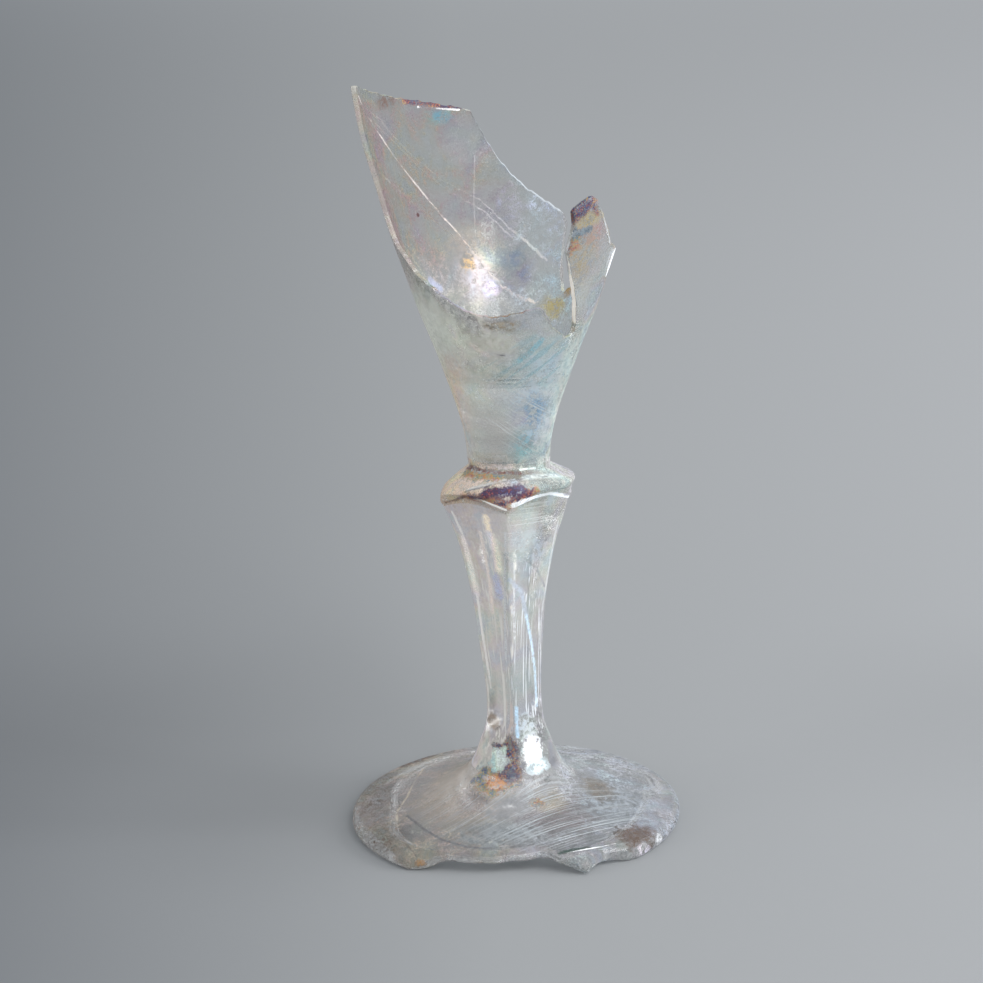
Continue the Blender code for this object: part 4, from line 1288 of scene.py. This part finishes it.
# lengths here are in metres
studio = {
    # painted shade: the floor is coloured darker to the left of the glass and lighter to the right
    "floorShadeColours": [(0, (0.195, 0.208, 0.223)), (0.5, (0.313, 0.327, 0.34)), (1, (0.35, 0.363, 0.379))],
    "floorSpread": (-0.22, 0.2),  # where they begin and end: distance aside, over distance from the front
    "floorFront": 0.5,  # that distance is taken from this far before the glass
    "floorNearest": 0.38,  # and never as less than this
    "floorFarLight": 0.3,  # painted light: how much lighter the floor is coloured behind the glass
    # painted shadows, soft dark places on the floor: middle in x and y, size in x and y, share of light taken
    # off
    "floorPaintedShadows": [((-0.05, 0), (0.045, 0.05), 0.09), ((-0.11, 0.05), (0.09, 0.1), 0.08),
                 ((0.12, 0.05), (0.08, 0.08), 0.06)],
    "floorRough": 0.9,
    "floorRadius": 6.0,
    "worldColour": (0.98, 0.99, 1),
    "worldLevel": 0.55,  # light that falls on things
    "worldSeen": (0.5, 0.515, 0.53),  # what the glass and the camera see of it
    "target": (0, 0, 0.1),  # what the lamps point at
    # degrees to the right of the front, degrees over the floor, distance, size, power, whether it is mirrored
    "lamps": {
        "key": (38.5, 44.5, 2.4, (1.6, 1.3), 34, True),
        "side": (76, 20, 1.8, (0.9, 0.9), 24, False),
        "fill": (-72, 18, 1.8, (0.9, 0.9), 4.5, False),
    },
}


def makeFloor():
    mesh = bpy.data.meshes.new("floor")
    r = studio["floorRadius"]
    mesh.from_pydata([(x, y, cadLow.z) for x, y in ((-r, -r), (r, -r), (r, r), (-r, r))], [], [(0, 1, 2, 3)])
    floor = bpy.data.objects.new("floor", mesh)
    bpy.context.scene.collection.objects.link(floor)
    made, tree, shader = material("paleFloor")
    where = tree.nodes.new("ShaderNodeTexCoord").outputs["Object"]
    split = tree.nodes.new("ShaderNodeSeparateXYZ")
    put(tree, where, split.inputs[0])
    aside, back = split.outputs[:2]
    depth = maths(tree, "MAXIMUM", maths(tree, "ADD", back, studio["floorFront"]), studio["floorNearest"])
    side = stretchRange(tree, maths(tree, "DIVIDE", aside, depth), *studio["floorSpread"], kind="LINEAR")
    # painted light: the floor colour grows lighter behind the glass
    far = maths(tree, "MULTIPLY_ADD", maths(tree, "MAXIMUM", back, 0.0), studio["floorFarLight"], 1.0)
    colour = vectorMaths(tree, "MULTIPLY", ramp(tree, side, studio["floorShadeColours"]), far)
    # painted shadows: darken the floor colour round each place
    for middle, size, share in studio["floorPaintedShadows"]:
        offset = vectorMaths(tree, "SUBTRACT", where, (*middle, 0))
        away = vectorMaths(tree, "LENGTH", vectorMaths(tree, "DIVIDE", offset, (*size, 1)), out=1)
        colour = vectorMaths(tree, "MULTIPLY", colour, stretchRange(tree, away, 0.0, 1.0, 1 - share, 1.0))
    put(tree, colour, shader.inputs["Base Color"])
    put(tree, studio["floorRough"], shader.inputs["Roughness"])
    put(tree, 0.0, shader.inputs["Specular IOR Level"])
    mesh.materials.append(made)


def makeWorld():
    # things are lit by one background, while the glass and the camera see another
    world = bpy.data.worlds.new("studio")
    world.use_nodes = True
    tree = world.node_tree
    light = tree.nodes["Background"]
    put(tree, studio["worldColour"], light.inputs["Color"])
    put(tree, studio["worldLevel"], light.inputs["Strength"])
    seen = tree.nodes.new("ShaderNodeBackground")
    put(tree, studio["worldSeen"], seen.inputs["Color"])
    ray = tree.nodes.new("ShaderNodeLightPath").outputs
    direct = maths(tree, "MAXIMUM", ray["Is Camera Ray"], ray["Is Glossy Ray"])
    direct = maths(tree, "MAXIMUM", direct, ray["Is Transmission Ray"])
    shown = mixShaders(tree, direct, light.outputs[0], seen.outputs[0])
    put(tree, shown, tree.nodes["World Output"].inputs["Surface"])
    bpy.context.scene.world = world


def makeLamp(name, around, above, distance, size, power, mirrored):
    a, e = math.radians(around), math.radians(above)
    away = np.array([math.sin(a) * math.cos(e), -math.cos(a) * math.cos(e), math.sin(e)]) * distance
    light = bpy.data.lights.new(name, "AREA")
    light.shape = "RECTANGLE"
    light.size, light.size_y = size
    light.energy = power
    placed = bpy.data.objects.new(name, light)
    bpy.context.scene.collection.objects.link(placed)
    placed.location = (away + studio["target"]).tolist()
    placed.rotation_euler = Vector(away.tolist()).to_track_quat("Z", "Y").to_euler()
    placed.visible_glossy = mirrored
    placed.visible_transmission = mirrored


# lengths here are in millimetres from the middle of the foot
view = {
    "aside": -2.85,
    "away": 461.0,
    "above": 198.0,
    "down": 15.5,  # tilt in degrees
    "roll": -1.92,
    "lens": 87.53,
    "film": 36.0,
}


def makeCamera():
    camera = bpy.data.cameras.new("camera")
    camera.lens = view["lens"]
    camera.sensor_width = view["film"]
    camera.clip_start, camera.clip_end = 0.01, 50
    placed = bpy.data.objects.new("camera", camera)
    bpy.context.scene.collection.objects.link(placed)
    placed.location = ((np.array([view["aside"], -view["away"], view["above"]]) + centre) * mm).tolist()
    tilt = Matrix.Rotation(math.radians(90 - view["down"]), 3, "X")
    placed.rotation_euler = (tilt @ Matrix.Rotation(math.radians(view["roll"]), 3, "Z")).to_euler()
    bpy.context.scene.camera = placed


makeFloor()
makeWorld()
for name, lamp in studio["lamps"].items():
    makeLamp(name, *lamp)
makeCamera()
scene = bpy.context.scene
scene.view_settings.view_transform = "Standard"
scene.cycles.caustics_refractive = False
scene.cycles.caustics_reflective = False
scene.cycles.transparent_max_bounces = 24
scene.cycles.max_bounces = 32
scene.cycles.transmission_bounces = 32
scene.cycles.glossy_bounces = 32
print("studio made")
